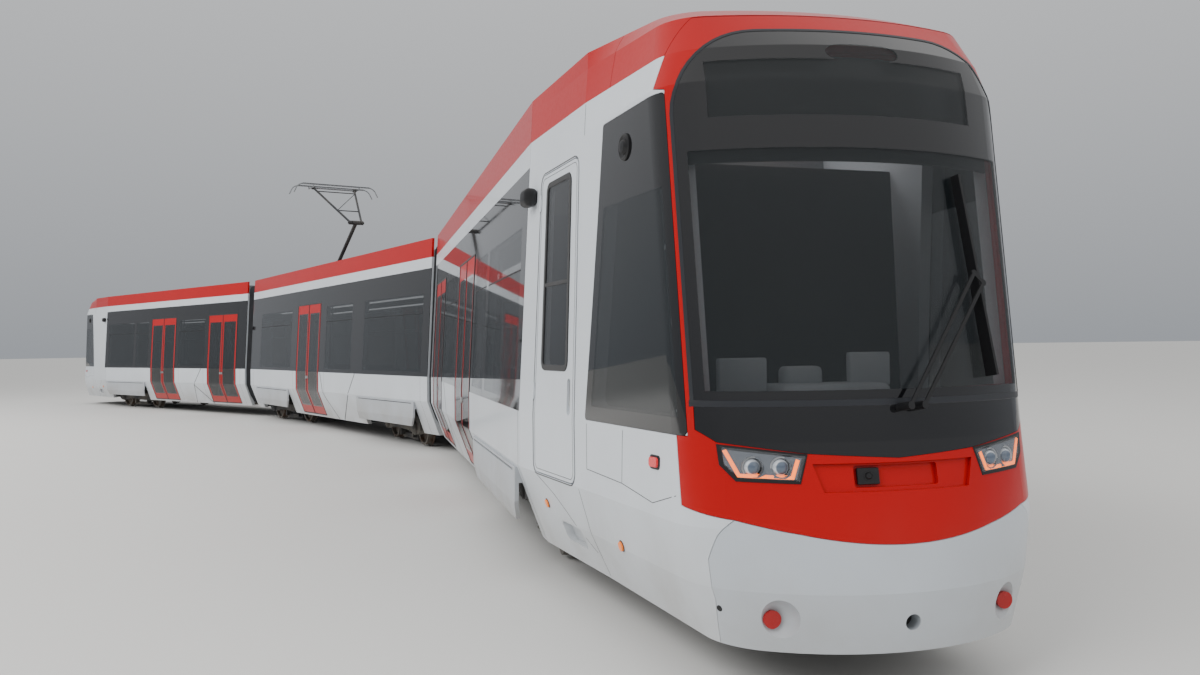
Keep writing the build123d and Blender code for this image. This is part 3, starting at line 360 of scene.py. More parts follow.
# One material: a Principled shader and the nodes that feed it
class Finish:
    def __init__(self, name, **sockets):
        self.material = bpy.data.materials.new(name)
        self.material.use_nodes = True
        self.tree = self.material.node_tree
        self.tree.nodes.clear()
        self.shader = self.tree.nodes.new("ShaderNodeBsdfPrincipled")
        out = self.tree.nodes.new("ShaderNodeOutputMaterial")
        self.tree.links.new(self.shader.outputs[0], out.inputs[0])
        self.set(**sockets)

    def set(self, **sockets):
        for name, value in sockets.items():
            self.plug(self.shader.inputs[name.replace("_", " ")], value)
        return self.material

    def plug(self, socket, value):
        if isinstance(value, Wire):
            self.tree.links.new(value.socket, socket)
        elif socket.type == "RGBA" and len(value) == 3:
            socket.default_value = (*value, 1)
        else:
            socket.default_value = value

    def node(self, kind, settings, inputs, output=0):
        made = self.tree.nodes.new(kind)
        for key, value in settings.items():
            setattr(made, key, value)
        for key, value in inputs.items():
            self.plug(made.inputs[key], value)
        return Wire(self, made.outputs[output])

    def place(self, car=None, stretch=None):  # the object's own coordinates, or a car's, in metres
        here = self.node("ShaderNodeTexCoord", {}, {}, "Object")
        if car is not None:
            here = self.node("ShaderNodeMapping", {"vector_type": "TEXTURE"}, {
                "Vector": here, "Location": car.origin, "Rotation": (0, 0, car.turn)})
        if stretch:
            here = self.node("ShaderNodeVectorMath", {"operation": "MULTIPLY"}, {0: here, 1: stretch})
        return here

    def axes(self, vector):  # its x, y and z
        return [self.node("ShaderNodeSeparateXYZ", {}, {0: vector}, i) for i in range(3)]

    def noise(self, scale, detail, vector=None):
        return self.node("ShaderNodeTexNoise", {}, {
            "Vector": vector or self.place(), "Scale": scale, "Detail": detail, "Roughness": 0.55})

    def mix(self, share, first, second):
        return self.node("ShaderNodeMix", {"data_type": "RGBA"}, {0: share, 6: first, 7: second}, 2)

    def bump(self, height, depth, strength, before=None):
        inputs = {"Height": height, "Distance": depth, "Strength": strength}
        if before is not None:
            inputs["Normal"] = before
        return self.node("ShaderNodeBump", {}, inputs)


def srgb(red, green, blue):  # screen colour 0-255 to linear
    return tuple(pow((v / 255 + 0.055) / 1.055, 2.4) if v > 10 else v / 3294.6 for v in (red, green, blue))


def dim(colour, share):
    return tuple(v * share for v in colour)


# Finishes
paintLook = {"wave": 0.9, "waveDepth": 0.0048, "dustFrom": 0.25, "dustTo": 1.15, "dust": srgb(150, 142, 130)}


def gloss(name, colour, rough, coat, dirty=0.35, streaks=0.0, specular=0.5):
    finish = Finish(name, Coat_Weight=coat, Coat_Roughness=0.04, Specular_IOR_Level=specular)
    z = finish.axes(finish.place())[2]
    cloud = finish.noise(1.3, 4)
    grit = finish.noise(38, 4)
    low = 1 - z.spread(paintLook["dustFrom"], paintLook["dustTo"])
    dirt = (low * cloud.spread(0.3, 0.75) * 0.8 + low * low * 0.5) * dirty
    if streaks:
        runs = finish.noise(3.2, 3, finish.place(stretch=(3, 3, 0.12)))
        dirt = dirt + runs.spread(0.55, 0.8) * streaks
    shade = finish.mix(cloud.spread(0.2, 0.8) * 0.35, colour, dim(colour, 0.86))
    finish.set(Base_Color=finish.mix(dirt, shade, paintLook["dust"]))
    finish.set(Roughness=rough + dirt * 0.5 + grit.spread(0.35, 0.75) * 0.05)
    wave = finish.bump(finish.noise(paintLook["wave"], 2), paintLook["waveDepth"], 0.35)
    return finish.set(Normal=finish.bump(finish.noise(520, 1), 0.00006, 0.25, wave))


def dusty(name, colour, rough, metal=0.0, dust=0.35, grain=60, depth=0.0006):
    finish = Finish(name, Metallic=metal)
    cloud = finish.noise(2.1, 5)
    grit = finish.noise(grain, 4)
    mask = (cloud.spread(0.35, 0.7) * 0.7 + grit.spread(0.45, 0.8) * 0.3) * dust
    shade = finish.mix(grit.spread(0.3, 0.7) * 0.5, colour, dim(colour, 0.7))
    finish.set(Base_Color=finish.mix(mask, shade, paintLook["dust"]))
    finish.set(Roughness=rough + mask * 0.35)
    return finish.set(Normal=finish.bump(grit, depth, 0.5))


def steel(name, colour, rough, grain):
    finish = Finish(name, Metallic=0.9)
    brushed = finish.noise(grain, 4)
    cloud = finish.noise(6, 4)
    finish.set(Base_Color=finish.mix(cloud.spread(0.35, 0.75), colour, dim(colour, 0.62)))
    finish.set(Roughness=rough + brushed.spread(0.3, 0.7) * 0.15)
    return finish.set(Normal=finish.bump(brushed, 0.0003, 0.4))


def plastic(name, colour, rough, grain=420, depth=0.0002):
    finish = Finish(name)
    pores = finish.noise(grain, 3)
    cloud = finish.noise(4, 3)
    finish.set(Base_Color=finish.mix(cloud.spread(0.3, 0.8) * 0.5, colour, dim(colour, 0.8)))
    finish.set(Roughness=rough + pores.spread(0.3, 0.7) * 0.08)
    return finish.set(Normal=finish.bump(pores, depth, 0.5))


def rubber(name, colour, rough=0.75):
    finish = Finish(name, Sheen_Weight=0.15, Sheen_Roughness=0.5)
    pores = finish.noise(700, 3)
    cloud = finish.noise(5, 5)
    worn = tuple(v * 1.9 + 0.01 for v in colour)
    finish.set(Base_Color=finish.mix(cloud.spread(0.35, 0.75) * 0.6, colour, worn))
    finish.set(Roughness=rough + cloud.spread(0.3, 0.8) * 0.12)
    return finish.set(Normal=finish.bump(pores, 0.0004, 0.6))


def lit(name, colour, strength, rough=0.25):
    finish = Finish(name, Roughness=rough, Emission_Strength=strength, Coat_Weight=0.6)
    cells = finish.noise(260, 1)
    bright = tuple(min(1, v * 1.3 + 0.03) for v in colour)
    glow = finish.mix(cells.spread(0.35, 0.7) * 0.25, colour, bright)
    return finish.set(Base_Color=glow, Emission_Color=glow)


windowRows = {  # along a car: windows from and to, doors from
    "end": ((2.62, 4.20), (6.18, 7.05), (7.21, 9.08)), "endDoors": (0.86, 4.40),
    "centre": ((-4.69, -2.11), (0.33, 1.90), (2.57, 5.31)), "centreDoors": (-1.64,),
    "foot": 1.31, "head": 2.60, "soft": 0.006,
    "doorWidth": 1.56, "stile": 0.115, "doorFoot": 0.53, "doorHead": 2.46}
cabPane = {"foot": 1.35, "head": 2.50, "rear": (10.74, 0.142), "front": (11.85, -0.136), "outside": 0.897}
glassLook = {"tint": (0.010, 0.013, 0.015), "clear": 0.72, "frit": (0.006, 0.006, 0.007), "rough": 0.03}


def bandGlass(name, car):  # dark glass all along a side, clearer at the windows
    finish = Finish(name, IOR=1.5, Coat_Weight=0.3, Coat_Roughness=0.02)
    x, y, z = finish.axes(finish.place(car))
    soft = windowRows["soft"]
    windows = [x.between(low, high, soft) for low, high in windowRows[car.kind]]
    window = windows[0] | windows[1] | windows[2]
    window = window & z.between(windowRows["foot"], windowRows["head"], soft)
    half, stile = windowRows["doorWidth"] / 2, windowRows["stile"]
    for start in windowRows[car.kind + "Doors"]:
        leaves = x.between(start + stile, start + half - stile, soft) | x.between(
            start + half + stile, start + 2 * half - stile, soft)
        window = window | (leaves & z.between(windowRows["doorFoot"], windowRows["doorHead"], soft))
    if car is not centre:
        edges = []  # beyond the cab pane's rear edge, and beyond its front edge
        for place, lean in (cabPane["rear"], cabPane["front"]):
            edge = x - (z - cabPane["foot"]) * lean
            edges.append(edge.spread(place - soft, place + soft))
        pane = edges[0] & (1 - edges[1])
        pane = pane & z.between(cabPane["foot"], cabPane["head"], soft) & (abs(y) > cabPane["outside"])
        window = window | pane
    film = finish.noise(1.7, 4)
    finish.set(Base_Color=finish.mix(window, glassLook["frit"], glassLook["tint"]))
    finish.set(Alpha=1 - window * (1 - glassLook["clear"]))
    return finish.set(Roughness=glassLook["rough"] + film.spread(0.45, 0.8) * 0.05)


def clearGlass(name, tint, clear, car=None, frit=None):  # frit: a mask of the black print on a car's screen
    finish = Finish(name, IOR=1.5, Coat_Weight=0.4, Coat_Roughness=0.01)
    film = finish.noise(1.2, 4)
    alpha = clear + film.spread(0.4, 0.8) * 0.03
    colour = tint
    if frit:
        edge = frit(*finish.axes(finish.place(car)))
        colour = finish.mix(edge, tint, glassLook["frit"])
        alpha = alpha | edge
    finish.set(Base_Color=colour, Alpha=alpha)
    return finish.set(Roughness=0.02 + film.spread(0.45, 0.8) * 0.05)


def wheelFinish(name, hub):
    finish = Finish(name, Metallic=0.75)
    grit = finish.noise(45, 5)
    rust = finish.noise(7, 5)
    finish.set(Base_Color=finish.mix(rust.spread(0.4, 0.7) * 0.8, hub, srgb(96, 70, 52)))
    finish.set(Roughness=0.5 + rust.spread(0.35, 0.75) * 0.3)
    return finish.set(Normal=finish.bump(grit, 0.0008, 0.5))


white = gloss("bodyWhite", srgb(206, 211, 216), 0.36, 0.25, dirty=0.4, streaks=0.04)
red = gloss("bodyRed", (0.42, 0.0004, 0.0015), 0.3, 0.2, dirty=0.12, specular=0.2)
silver = gloss("bumperSilver", srgb(188, 195, 202), 0.3, 0.5)
apron = gloss("apronGrey", srgb(176, 181, 187), 0.42, 0.2, dirty=0.5)
roofGrey = dusty("roofGrey", srgb(112, 114, 118), 0.6, grain=40)
underGrey = dusty("underframeGrey", srgb(52, 54, 57), 0.7, dust=0.5)
bogieGrey = dusty("bogieGrey", srgb(44, 45, 48), 0.65, metal=0.1, dust=0.6)
mastDark = dusty("mastDark", srgb(46, 48, 52), 0.5, metal=0.3, dust=0.25, grain=90, depth=0.0002)
wheelSteel = wheelFinish("wheelSteel", srgb(110, 106, 100))
railSteel = steel("railSteel", srgb(190, 192, 194), 0.28, 90)
blackRubber = rubber("blackRubber", (0.010, 0.010, 0.011))
bellowsRubber = rubber("bellowsRubber", (0.022, 0.023, 0.026), 0.8)
seatShell = plastic("seatShell", srgb(74, 80, 92), 0.5, grain=90, depth=0.0001)
blackPlastic = plastic("blackPlastic", (0.006, 0.006, 0.007), 0.42)
frameGrey = plastic("frameGrey", srgb(34, 36, 41), 0.4)
lineGrey = plastic("lineGrey", srgb(52, 54, 58), 0.5)
dashGrey = plastic("dashGrey", srgb(176, 181, 185), 0.55)
runningLight = lit("runningLight", srgb(255, 118, 40), 1.5)
markerRed = lit("markerRed", srgb(205, 10, 20), 0.25)
markerOrange = lit("markerOrange", srgb(240, 120, 10), 0.3)
ceilingLight = lit("ceilingLight", srgb(235, 240, 245), 2.2, rough=0.5)
coverClear = clearGlass("lampCover", (0.4, 0.42, 0.45), 0.12)


lampLook = {  # metres across and up, on the left of the nose
    "outline": ((0.482, 1.062), (0.742, 1.072), (0.800, 1.140), (0.806, 1.222), (0.446, 1.178)),
    "light": ((0.786, 1.206), (0.733, 1.089), (0.508, 1.080), (0.478, 1.162)), "lightWidth": 0.019,
    "rim": 0.022, "cover": 0.99, "lenses": (0.55, 0.67), "lensZ": 1.126, "lensR": 0.043, "soft": 0.002,
    "core": (0.62, 0.74), "reflectorHead": 0.8, "bezelAbove": 0.012, "bezelTurn": 0.25,
    "bezel": ((-0.002, -0.006), (0.002, 0.004), (0.008, 0.003), (0.012, -0.008))}  # off the lens, height


def lampFinish(name, car):  # dark housings, bright lenses and red reflectors, in one node
    look = lampLook
    finish = Finish(name, Coat_Roughness=0.02)
    y, z = finish.axes(finish.place(car))[1:]
    radius = look["lensR"]
    off = [(abs(y) - lensY) * (abs(y) - lensY) + (z - look["lensZ"]) * (z - look["lensZ"])
           for lensY in look["lenses"]]
    near = off[0] & off[1]  # the squared distance to the nearer lens
    lens = 1 - near.spread((radius - look["soft"]) ** 2, radius ** 2)
    core = 1 - near.spread(*((radius * share) ** 2 for share in look["core"]))
    low = z < look["reflectorHead"]
    fine = finish.noise(240, 2)
    shade = finish.mix(lens, srgb(112, 117, 124), srgb(214, 219, 225))
    shade = finish.mix(core, shade, srgb(96, 108, 124))
    finish.set(Base_Color=finish.mix(low, shade, (0.36, 0.0004, 0.001)))
    finish.set(Metallic=0.5 * (1 - low), Coat_Weight=0.5 * (1 - low) + 0.08)
    return finish.set(Roughness=0.16 + fine.spread(0.3, 0.7) * 0.12)


screenLook = {  # metres across and up, in front view
    "foot": 1.43, "head": 3.29, "footHalf": 0.896, "headHalf": 0.916, "corner": 0.43, "kinkZ": 2.2,
    "printFoot": 1.478, "printSide": 0.052, "printHead": 2.655, "soft": 0.004,
    "display": (-0.82, 0.74, 2.76, 3.15), "window": (-0.76, 0.66, 2.825, 3.115), "windowSoft": 0.003,
    "patch": (0.03, 3.155, 0.20, 0.045)}


def screenHalf(z):  # half width of the screen at a height, for numbers and wires alike
    look = screenLook
    return look["footHalf"] + (z - look["foot"]) * (
        (look["headHalf"] - look["footHalf"]) / (look["head"] - look["foot"]))


def screenEdge(x, y, z):  # black print round the screen and above it, with its two clear windows
    look = screenLook
    soft = look["soft"]
    side = (abs(y) - screenHalf(z)).spread(-look["printSide"], -look["printSide"] + soft)
    low, high, foot, head = look["window"]
    window = y.between(low, high, look["windowSoft"]) & z.between(foot, head, look["windowSoft"])
    middle, level, halfWide, halfHigh = look["patch"]
    u, v = (y - middle) / halfWide, (z - level) / halfHigh
    patch = 1 - (u * u * u * u + v * v).spread(0.95, 1.05)
    top = z.spread(look["printHead"], look["printHead"] + soft) & (1 - window) & (1 - patch)
    return side | top | (1 - z.spread(look["printFoot"], look["printFoot"] + soft))


mastLook = {"glazed": (3.425, 3.435), "carbon": (0.014, 0.012)}  # heights, depths under the head's top


def mastFinish(name):  # dark paint, with glazed insulators under the pantograph
    finish = Finish(name)
    z = finish.axes(finish.place())[2]
    cloud = finish.noise(3, 4)
    grit = finish.noise(90, 4)
    glazed = 1 - z.spread(*mastLook["glazed"])
    dark = finish.mix(grit.spread(0.3, 0.7) * 0.4, srgb(52, 54, 58), srgb(34, 35, 38))
    finish.set(Base_Color=finish.mix(glazed, dark, srgb(112, 52, 34)))
    finish.set(Roughness=0.5 - glazed * 0.3 + cloud.spread(0.4, 0.8) * 0.2)
    return finish.set(Normal=finish.bump(grit, 0.0002, 0.5))


def headFinish(name):  # aluminium collector head with worn carbon on its strips
    finish = Finish(name)
    z = finish.axes(finish.place())[2]
    worn = finish.noise(40, 4, finish.place(stretch=(4, 0.5, 1)))
    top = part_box("pantograph_head")[1][2]
    carbon = z.spread(*(top - depth for depth in mastLook["carbon"]))
    finish.set(Base_Color=finish.mix(carbon, srgb(150, 152, 155), srgb(38, 38, 40)))
    finish.set(Metallic=0.8 * (1 - carbon), Roughness=0.38 + worn.spread(0.35, 0.7) * 0.25)
    return finish.set(Normal=finish.bump(worn, 0.0004, 0.5))


def displayFinish(name, car):  # a dark dot screen, blank
    finish = Finish(name, Coat_Weight=0.3)
    y, z = finish.axes(finish.place(car))[1:]
    dots = ((y * 420).sine() * (z * 420).sine()).spread(0.2, 0.6)
    cloud = finish.noise(3, 2)
    finish.set(Base_Color=finish.mix(dots, (0.006, 0.006, 0.007), (0.03, 0.028, 0.024)))
    return finish.set(Roughness=0.35 + cloud.spread(0.3, 0.7) * 0.1)


finishOf = {  # a finish for each kind of node, by the end of its name
    "floor": underGrey, "walls": white, "roof": roofGrey, "fairing": red, "doors": red, "aprons": apron,
    "nose": red, "bumper": silver, "wiper": blackPlastic, "interior": seatShell, "cab_door": white,
    "cab_door_pane": clearGlass("cabPane", (0.01, 0.012, 0.014), 0.6), "bellows": bellowsRubber,
    "bogie": bogieGrey, "wheelset_1": wheelSteel, "wheelset_2": wheelSteel,
    "pantograph_base": mastFinish("pantographBase"), "lower_arm": mastDark, "upper_arm": mastDark,
    "pantograph_head": headFinish("pantographHead")}
for car in cars:
    finishOf[car.name + "_glazing"] = bandGlass(car.name + "WindowBand", car)
for car in ends:
    finishOf[car.name + "_lamps"] = lampFinish(car.name + "Lamps", car)
    finishOf[car.name + "_windscreen"] = clearGlass(
        car.name + "Windscreen", (0.012, 0.016, 0.018), 0.4, car, screenEdge)
for name, thing in nodes.items():
    ending = max((key for key in finishOf if name.endswith(key)), key=len)
    thing.data.materials.clear()
    thing.data.materials.append(finishOf[ending])
print("finishes on the frame's nodes")


# Nose of each end car: screen trim, headlamps, camera, blank display, sun blind and dashboard
noseLook = {
    "trim": 0.016, "sill": 0.034, "sillZ": 1.421, "sillHalf": 0.906,
    "camera": (-0.155, 1.078), "cameraSize": (0.108, 0.078, 0.022), "cameraEdge": 0.006,
    "lens": ((0.0, 0.030), (0.012, 0.030), (0.016, 0.024), (0.020, 0.026), (0.023, 0.024), (0.023, 0.016)),
    "behind": 0.075, "corner": 0.02, "blind": (-0.85, 0.85, 2.60, 2.74),
    "dashRear": 11.45, "dashHalf": 0.80, "dashSteps": 24, "screenZ": 1.48, "screenGap": 0.09,
    "dash": ((0, 1.22), (0.35, 1.31), (0.8, 1.40), (1, 1.40), (1, 1.37), (0, 1.19)),  # share forwards, height
    "consoles": (  # place, size, rounding
        ((11.62, -0.05, 1.44), (0.34, 0.62, 0.10), 0.04), ((11.58, -0.50, 1.53), (0.05, 0.27, 0.20), 0.012),
        ((11.60, 0.22, 1.56), (0.05, 0.24, 0.18), 0.012), ((11.52, -0.14, 1.52), (0.12, 0.22, 0.12), 0.03))}


def screenLine():
    look = screenLook
    corner = look["corner"]
    level = look["head"] - corner
    middle = screenHalf(level) - corner
    right = [(look["footHalf"], look["foot"]), (screenHalf(look["kinkZ"]), look["kinkZ"])]
    for k in range(13):
        angle = k * math.pi / 24
        right.append((middle + corner * math.cos(angle), level + corner * math.sin(angle)))
    return right + [(-u, v) for u, v in reversed(right)]


def buildNose(car):
    look = noseLook
    chart = Skin(car, "nose", "windscreen", "glazing", "bumper", "lamps").front()
    foot = [(-look["sillHalf"], look["sillZ"]), (look["sillHalf"], look["sillZ"])]
    trim = [band(chart, screenLine(), look["trim"], lift=0.003, closed=True, step=0.05),
            band(chart, foot, look["sill"], lift=0.0025, step=0.05)]
    rims, lights, covers, bezels = [], [], [], []
    radius = lampLook["lensR"]
    above = radius + lampLook["bezelAbove"]
    for side in (1, -1):
        outline, light = [[(side * y, z) for y, z in lampLook[key]] for key in ("outline", "light")]
        rims.append(band(chart, outline, lampLook["rim"], lift=0.004, closed=True, step=0.04))
        lights.append(band(chart, light, lampLook["lightWidth"], lift=0.0035, step=0.03))
        covers.append(plate(chart, [(y * lampLook["cover"], z) for y, z in outline], 0.006))
        for y in lampLook["lenses"]:
            spot = chart(side * y, lampLook["lensZ"] + above)[0] + car.way(0, 0, -above)
            seat = facing(spot, car.way(1, side * lampLook["bezelTurn"], 0).normalized())
            bezels.append(lathe(seat, [(radius + out, rise) for out, rise in lampLook["bezel"]], 28))
    seat = facing(*chart(*look["camera"]))
    middle = Matrix.Translation((0, 0, look["cameraSize"][2] / 2))
    camera = [slab(seat @ middle, look["cameraSize"], look["cameraEdge"]), lathe(seat, look["lens"], 24)]

    def inside(u, v):  # a place behind the screen
        return chart(u, v)[0] - car.way(look["behind"], 0, 0), car.way(1, 0, 0)

    display = plate(inside, roundBox(*screenLook["display"], look["corner"]), 0.004)
    blind = plate(inside, roundBox(*look["blind"], look["corner"]), 0.008)
    dash, count = [], look["dashSteps"] + 1
    for k in range(count):
        u = look["dashHalf"] * (2 * k / look["dashSteps"] - 1)
        reach = car.local(chart(u, look["screenZ"])[0]).x - look["screenGap"] - look["dashRear"]
        dash += [car.at(look["dashRear"] + reach * share, u, z) for share, z in look["dash"]]
    consoles = [slab(car.seat(*place), size, edge) for place, size, edge in look["consoles"]]
    carPieces(car, ("ScreenTrim", frameGrey, trim), ("LampRims", blackPlastic, rims),
              ("RunningLights", runningLight, lights), ("LampCovers", coverClear, covers),
              ("LampBezels", railSteel, bezels), ("NoseCamera", blackPlastic, camera),
              ("BlankDisplay", displayFinish(car.name + "Display", car), [display]),
              ("SunBlind", blackPlastic, [blind]),
              ("Dashboard", dashGrey, [(dash, strip(count, len(look["dash"]))), *consoles]))


for car in ends:
    buildNose(car)
print("noses")


# Cab sides: driver's door, panel lines, markers and camera pods
cabLook = {  # metres along and up the car's side
    "door": (9.65, 10.45, 0.85, 2.88), "seal": (0.016, 0.086), "groove": (-0.022, 0.05),  # outside, rounding
    "pane": (9.80, 10.31, 1.56, 2.80), "frame": (-0.004, 0.05), "frameWidth": 0.042,
    "barZ": 2.12, "barIn": 0.02, "barWidth": 0.028, "sealWidth": 0.007, "grooveWidth": 0.004, "line": 0.0045,
    "lever": (10.35, 1.40), "leverUp": 0.016, "leverSize": (0.022, 0.15, 0.014), "leverEdge": 0.005,
    "lines": (((10.67, 1.24), (10.67, 0.97), (11.20, 0.95), (11.20, 1.24)),
              ((11.20, 0.95), (11.60, 0.90), (11.86, 0.97)), ((9.66, 0.84), (9.97, 0.72), (10.50, 0.43)),
              ((10.52, 0.83), (10.56, 0.30)), ((10.56, 2.99), (10.56, 3.18))),
    "redLamp": (11.567, 11.663, 1.083, 1.135), "redRim": 0.01,
    "orange": ((11.048, 0.576), (9.73, 0.63)), "orangeR": 0.027, "orangeRim": 0.006,
    # the hole is not cut: it is drawn as a flat black disc of painted shade
    "hole": (12.05, 0.823, 0.459), "holeDisc": ((0.016, 0), (0.0144, 0.0015), (0, 0.0015)),
    "camera": (11.231, 2.789),
    "lens": ((0.075, -0.002), (0.075, 0.008), (0.065, 0.014), (0.059, 0.008), (0.045, 0.006),
             (0.03375, 0.024), (0, 0.032)),
    "pod": (9.47, 2.76),
    "podSlabs": (((0, 0, 0.045), (0.17, 0.13, 0.10), 0.04, 4),
                 ((0, 0.03, 0.005), (0.09, 0.05, 0.03), 0.01, 3))}


def buildCabSides(car):
    look = cabLook
    skin = Skin(car, "walls", "nose", "glazing", "bumper", "cab_door", "cab_door_pane", "fairing",
                "windscreen")
    dark, grey, orange, lampsRed, shells, rubbers = [], [], [], [], [], []
    for side in (-1, 1):
        chart = skin.side(side)
        if side < 0:  # the side of the driver's door
            seal, groove = [around(look["door"], *look[key]) for key in ("seal", "groove")]
            rubbers.append(band(chart, seal, look["sealWidth"], lift=0.002, closed=True))
            grey.append(band(chart, groove, look["grooveWidth"], lift=0.001, closed=True))
        grey += [band(chart, line, look["line"], lift=0.0008) for line in look["lines"]]
        dark.append(plate(chart, around(look["redLamp"], look["redRim"], 0.02), 0.006))
        lampsRed.append(plate(chart, around(look["redLamp"], 0, 0.018), 0.016))
        for u, v in look["orange"]:
            orange.append(plate(chart, disc(u, v, look["orangeR"]), 0.014))
            dark.append(plate(chart, disc(u, v, look["orangeR"] + look["orangeRim"]), 0.004))
        x, y, z = look["hole"]  # near the corner, so its ray comes in diagonally
        spot, normal = skin.cast(car.at(x + 1, side * (y + 1), z), car.way(-1, -side, 0).normalized())
        # a flat black disc paints the shade inside the hole; it goes in with the black trim pieces
        dark.append(lathe(facing(spot, normal), look["holeDisc"], 20))
        shells.append(lathe(facing(*chart(*look["camera"])), look["lens"]))
        pod = facing(*chart(*look["pod"]))
        shells += [slab(pod @ Matrix.Translation(place), *shape) for place, *shape in look["podSlabs"]]
    carPieces(car, ("CabSeals", blackRubber, rubbers), ("CabLines", lineGrey, grey),
              ("CabDarkTrim", blackPlastic, dark), ("CabShells", blackPlastic, shells),
              ("RedMarkers", markerRed, lampsRed), ("OrangeMarkers", markerOrange, orange))
    door = Skin(car, "cab_door", "cab_door_pane").side(-1)
    low, high = look["pane"][0] + look["barIn"], look["pane"][1] - look["barIn"]
    rim = band(door, around(look["pane"], *look["frame"]), look["frameWidth"], lift=0.006, closed=True)
    bar = band(door, ((low, look["barZ"]), (high, look["barZ"])), look["barWidth"], lift=0.006)
    piece(car.name + "CabDoorFrame", car.name + "_cab_door", blackRubber, rim, bar)
    seat = facing(*door(*look["lever"])) @ Matrix.Translation((0, 0, look["leverUp"]))
    lever = slab(seat, look["leverSize"], look["leverEdge"])
    piece(car.name + "CabDoorLever", car.name + "_cab_door", railSteel, lever)


for car in ends:
    buildCabSides(car)
print("cab sides")


# Saloon sides: door seals and buttons, window seams, panel lines, stripes and the aprons' slots
sideLook = {  # metres along and up the car's side
    "doorFoot": 0.33, "doorHead": 2.68, "doorOut": 0.004, "doorCorner": 0.02, "seal": 0.022, "midSeal": 0.034,
    "buttonX": 0.0441, "buttonZ": 1.12,
    "button": ((0.032, -0.002), (0.032, 0.008), (0.02624, 0.013), (0.02368, 0.008), (0.0224, 0.010),
               (0, 0.014)),
    "tiltZ": 2.28, "tilt": 0.014, "foot": 0.30, "sill": 1.2405, "line": 0.005, "stripe": 0.026,
    "panels": {"end": (0.62, 2.66, 4.14, 9.24), "centre": (-5.3, -1.9, 0.3, 5.3)},
    "bogies": {"end": (7.75,), "centre": (-3.65, 3.65)},
    "slotHalf": 1.28, "slotZ": 0.786, "slot": 0.012, "apronOut": 1.3262,
    "stripes": {"end": (((2.79, 1.235), (3.22, 0.78), (3.40, 0.285)), ((3.22, 0.78), (2.39, 0.285))),
                "centre": (((0.039, 1.235), (0.256, 0.74), (0.70, 0.285)),
                           ((2.149, 1.235), (1.732, 0.805), (1.0, 0.285)))}}


def buildSides(car):
    look = sideLook
    seals, lines, stripes, buttons, slots, seams = [], [], [], [], [], []
    for side in (-1, 1):
        chart = sideChart(car, side)
        flatChart = sideChart(car, side, look["apronOut"])
        for start in windowRows[car.kind + "Doors"]:
            stop = start + windowRows["doorWidth"]
            middle = (start + stop) / 2
            outline = roundBox(start - look["doorOut"], stop + look["doorOut"], look["doorFoot"],
                               look["doorHead"] + look["doorOut"], look["doorCorner"])
            seals.append(band(chart, outline, look["seal"], lift=0.005, closed=True))
            line = ((middle, look["doorFoot"]), (middle, look["doorHead"]))
            seals.append(band(chart, line, look["midSeal"], lift=0.006))
            for offset in (-look["buttonX"], look["buttonX"]):
                buttons.append(lathe(facing(*chart(middle + offset, look["buttonZ"])), look["button"], 24))
        for low, high in windowRows[car.kind]:
            seams.append(band(chart, ((low, look["tiltZ"]), (high, look["tiltZ"])), look["tilt"], lift=0.002))
        for x in look["panels"][car.kind]:
            lines.append(band(chart, ((x, look["foot"]), (x, look["sill"])), look["line"], lift=0.0006))
        for line in look["stripes"][car.kind]:
            stripes.append(band(chart, line, look["stripe"], lift=0.0008))
        for x in look["bogies"][car.kind]:
            line = ((x - look["slotHalf"], look["slotZ"]), (x + look["slotHalf"], look["slotZ"]))
            slots.append(band(flatChart, line, look["slot"], lift=0.0008))
    carPieces(car, ("DoorSeals", blackRubber, seals), ("WindowSeams", blackPlastic, seams),
              ("PanelLines", lineGrey, lines), ("Stripes", lineGrey, stripes),
              ("DoorButtons", railSteel, buttons), ("ApronSlots", blackPlastic, slots))


for car in cars:
    buildSides(car)
print("saloon sides")


# Gangway bellows: folded tubes, bent to the articulation's angle at rest
bellowsLook = {
    "length": 0.724, "folds": 11, "steps": 6, "peak": 0.03, "valley": 0.085, "sharp": 0.7,
    "foot": 0.33, "heights": (0.56, 0.84, 1.24, 2.0, 3.01, 3.19), "head": 3.41,
    "corner": 0.09, "bevel": 0.3, "flatHalf": 0.5,
    "tunnel": (-0.80, 0.80, 0.40, 2.50), "tunnelCorner": 0.14, "tunnelSteps": 5,
    "tunnelSwell": 0.03, "tunnelRise": 0.02, "tunnelMiddle": 1.4}


def bellowsLine(inset):  # outline of one fold, all round
    look = bellowsLook
    heights = (look["foot"] + inset, *look["heights"], look["head"] - inset)
    right = [(halfAt(z)[0] - inset, z) for z in heights]
    corner, flat = look["corner"], look["flatHalf"]
    bevel = corner * look["bevel"]
    (footY, footZ), (headY, headZ) = right[0], right[-1]
    right[:1] = [(footY - corner, footZ), (footY - bevel, footZ + bevel), (footY, footZ + corner)]
    right[-1:] = [(headY, headZ - corner), (headY - bevel, headZ - bevel), (headY - corner, headZ)]
    left = [(-y, z) for y, z in reversed(right)]
    return right + [(flat, headZ), (-flat, headZ)] + left + [(-flat, footZ), (flat, footZ)]


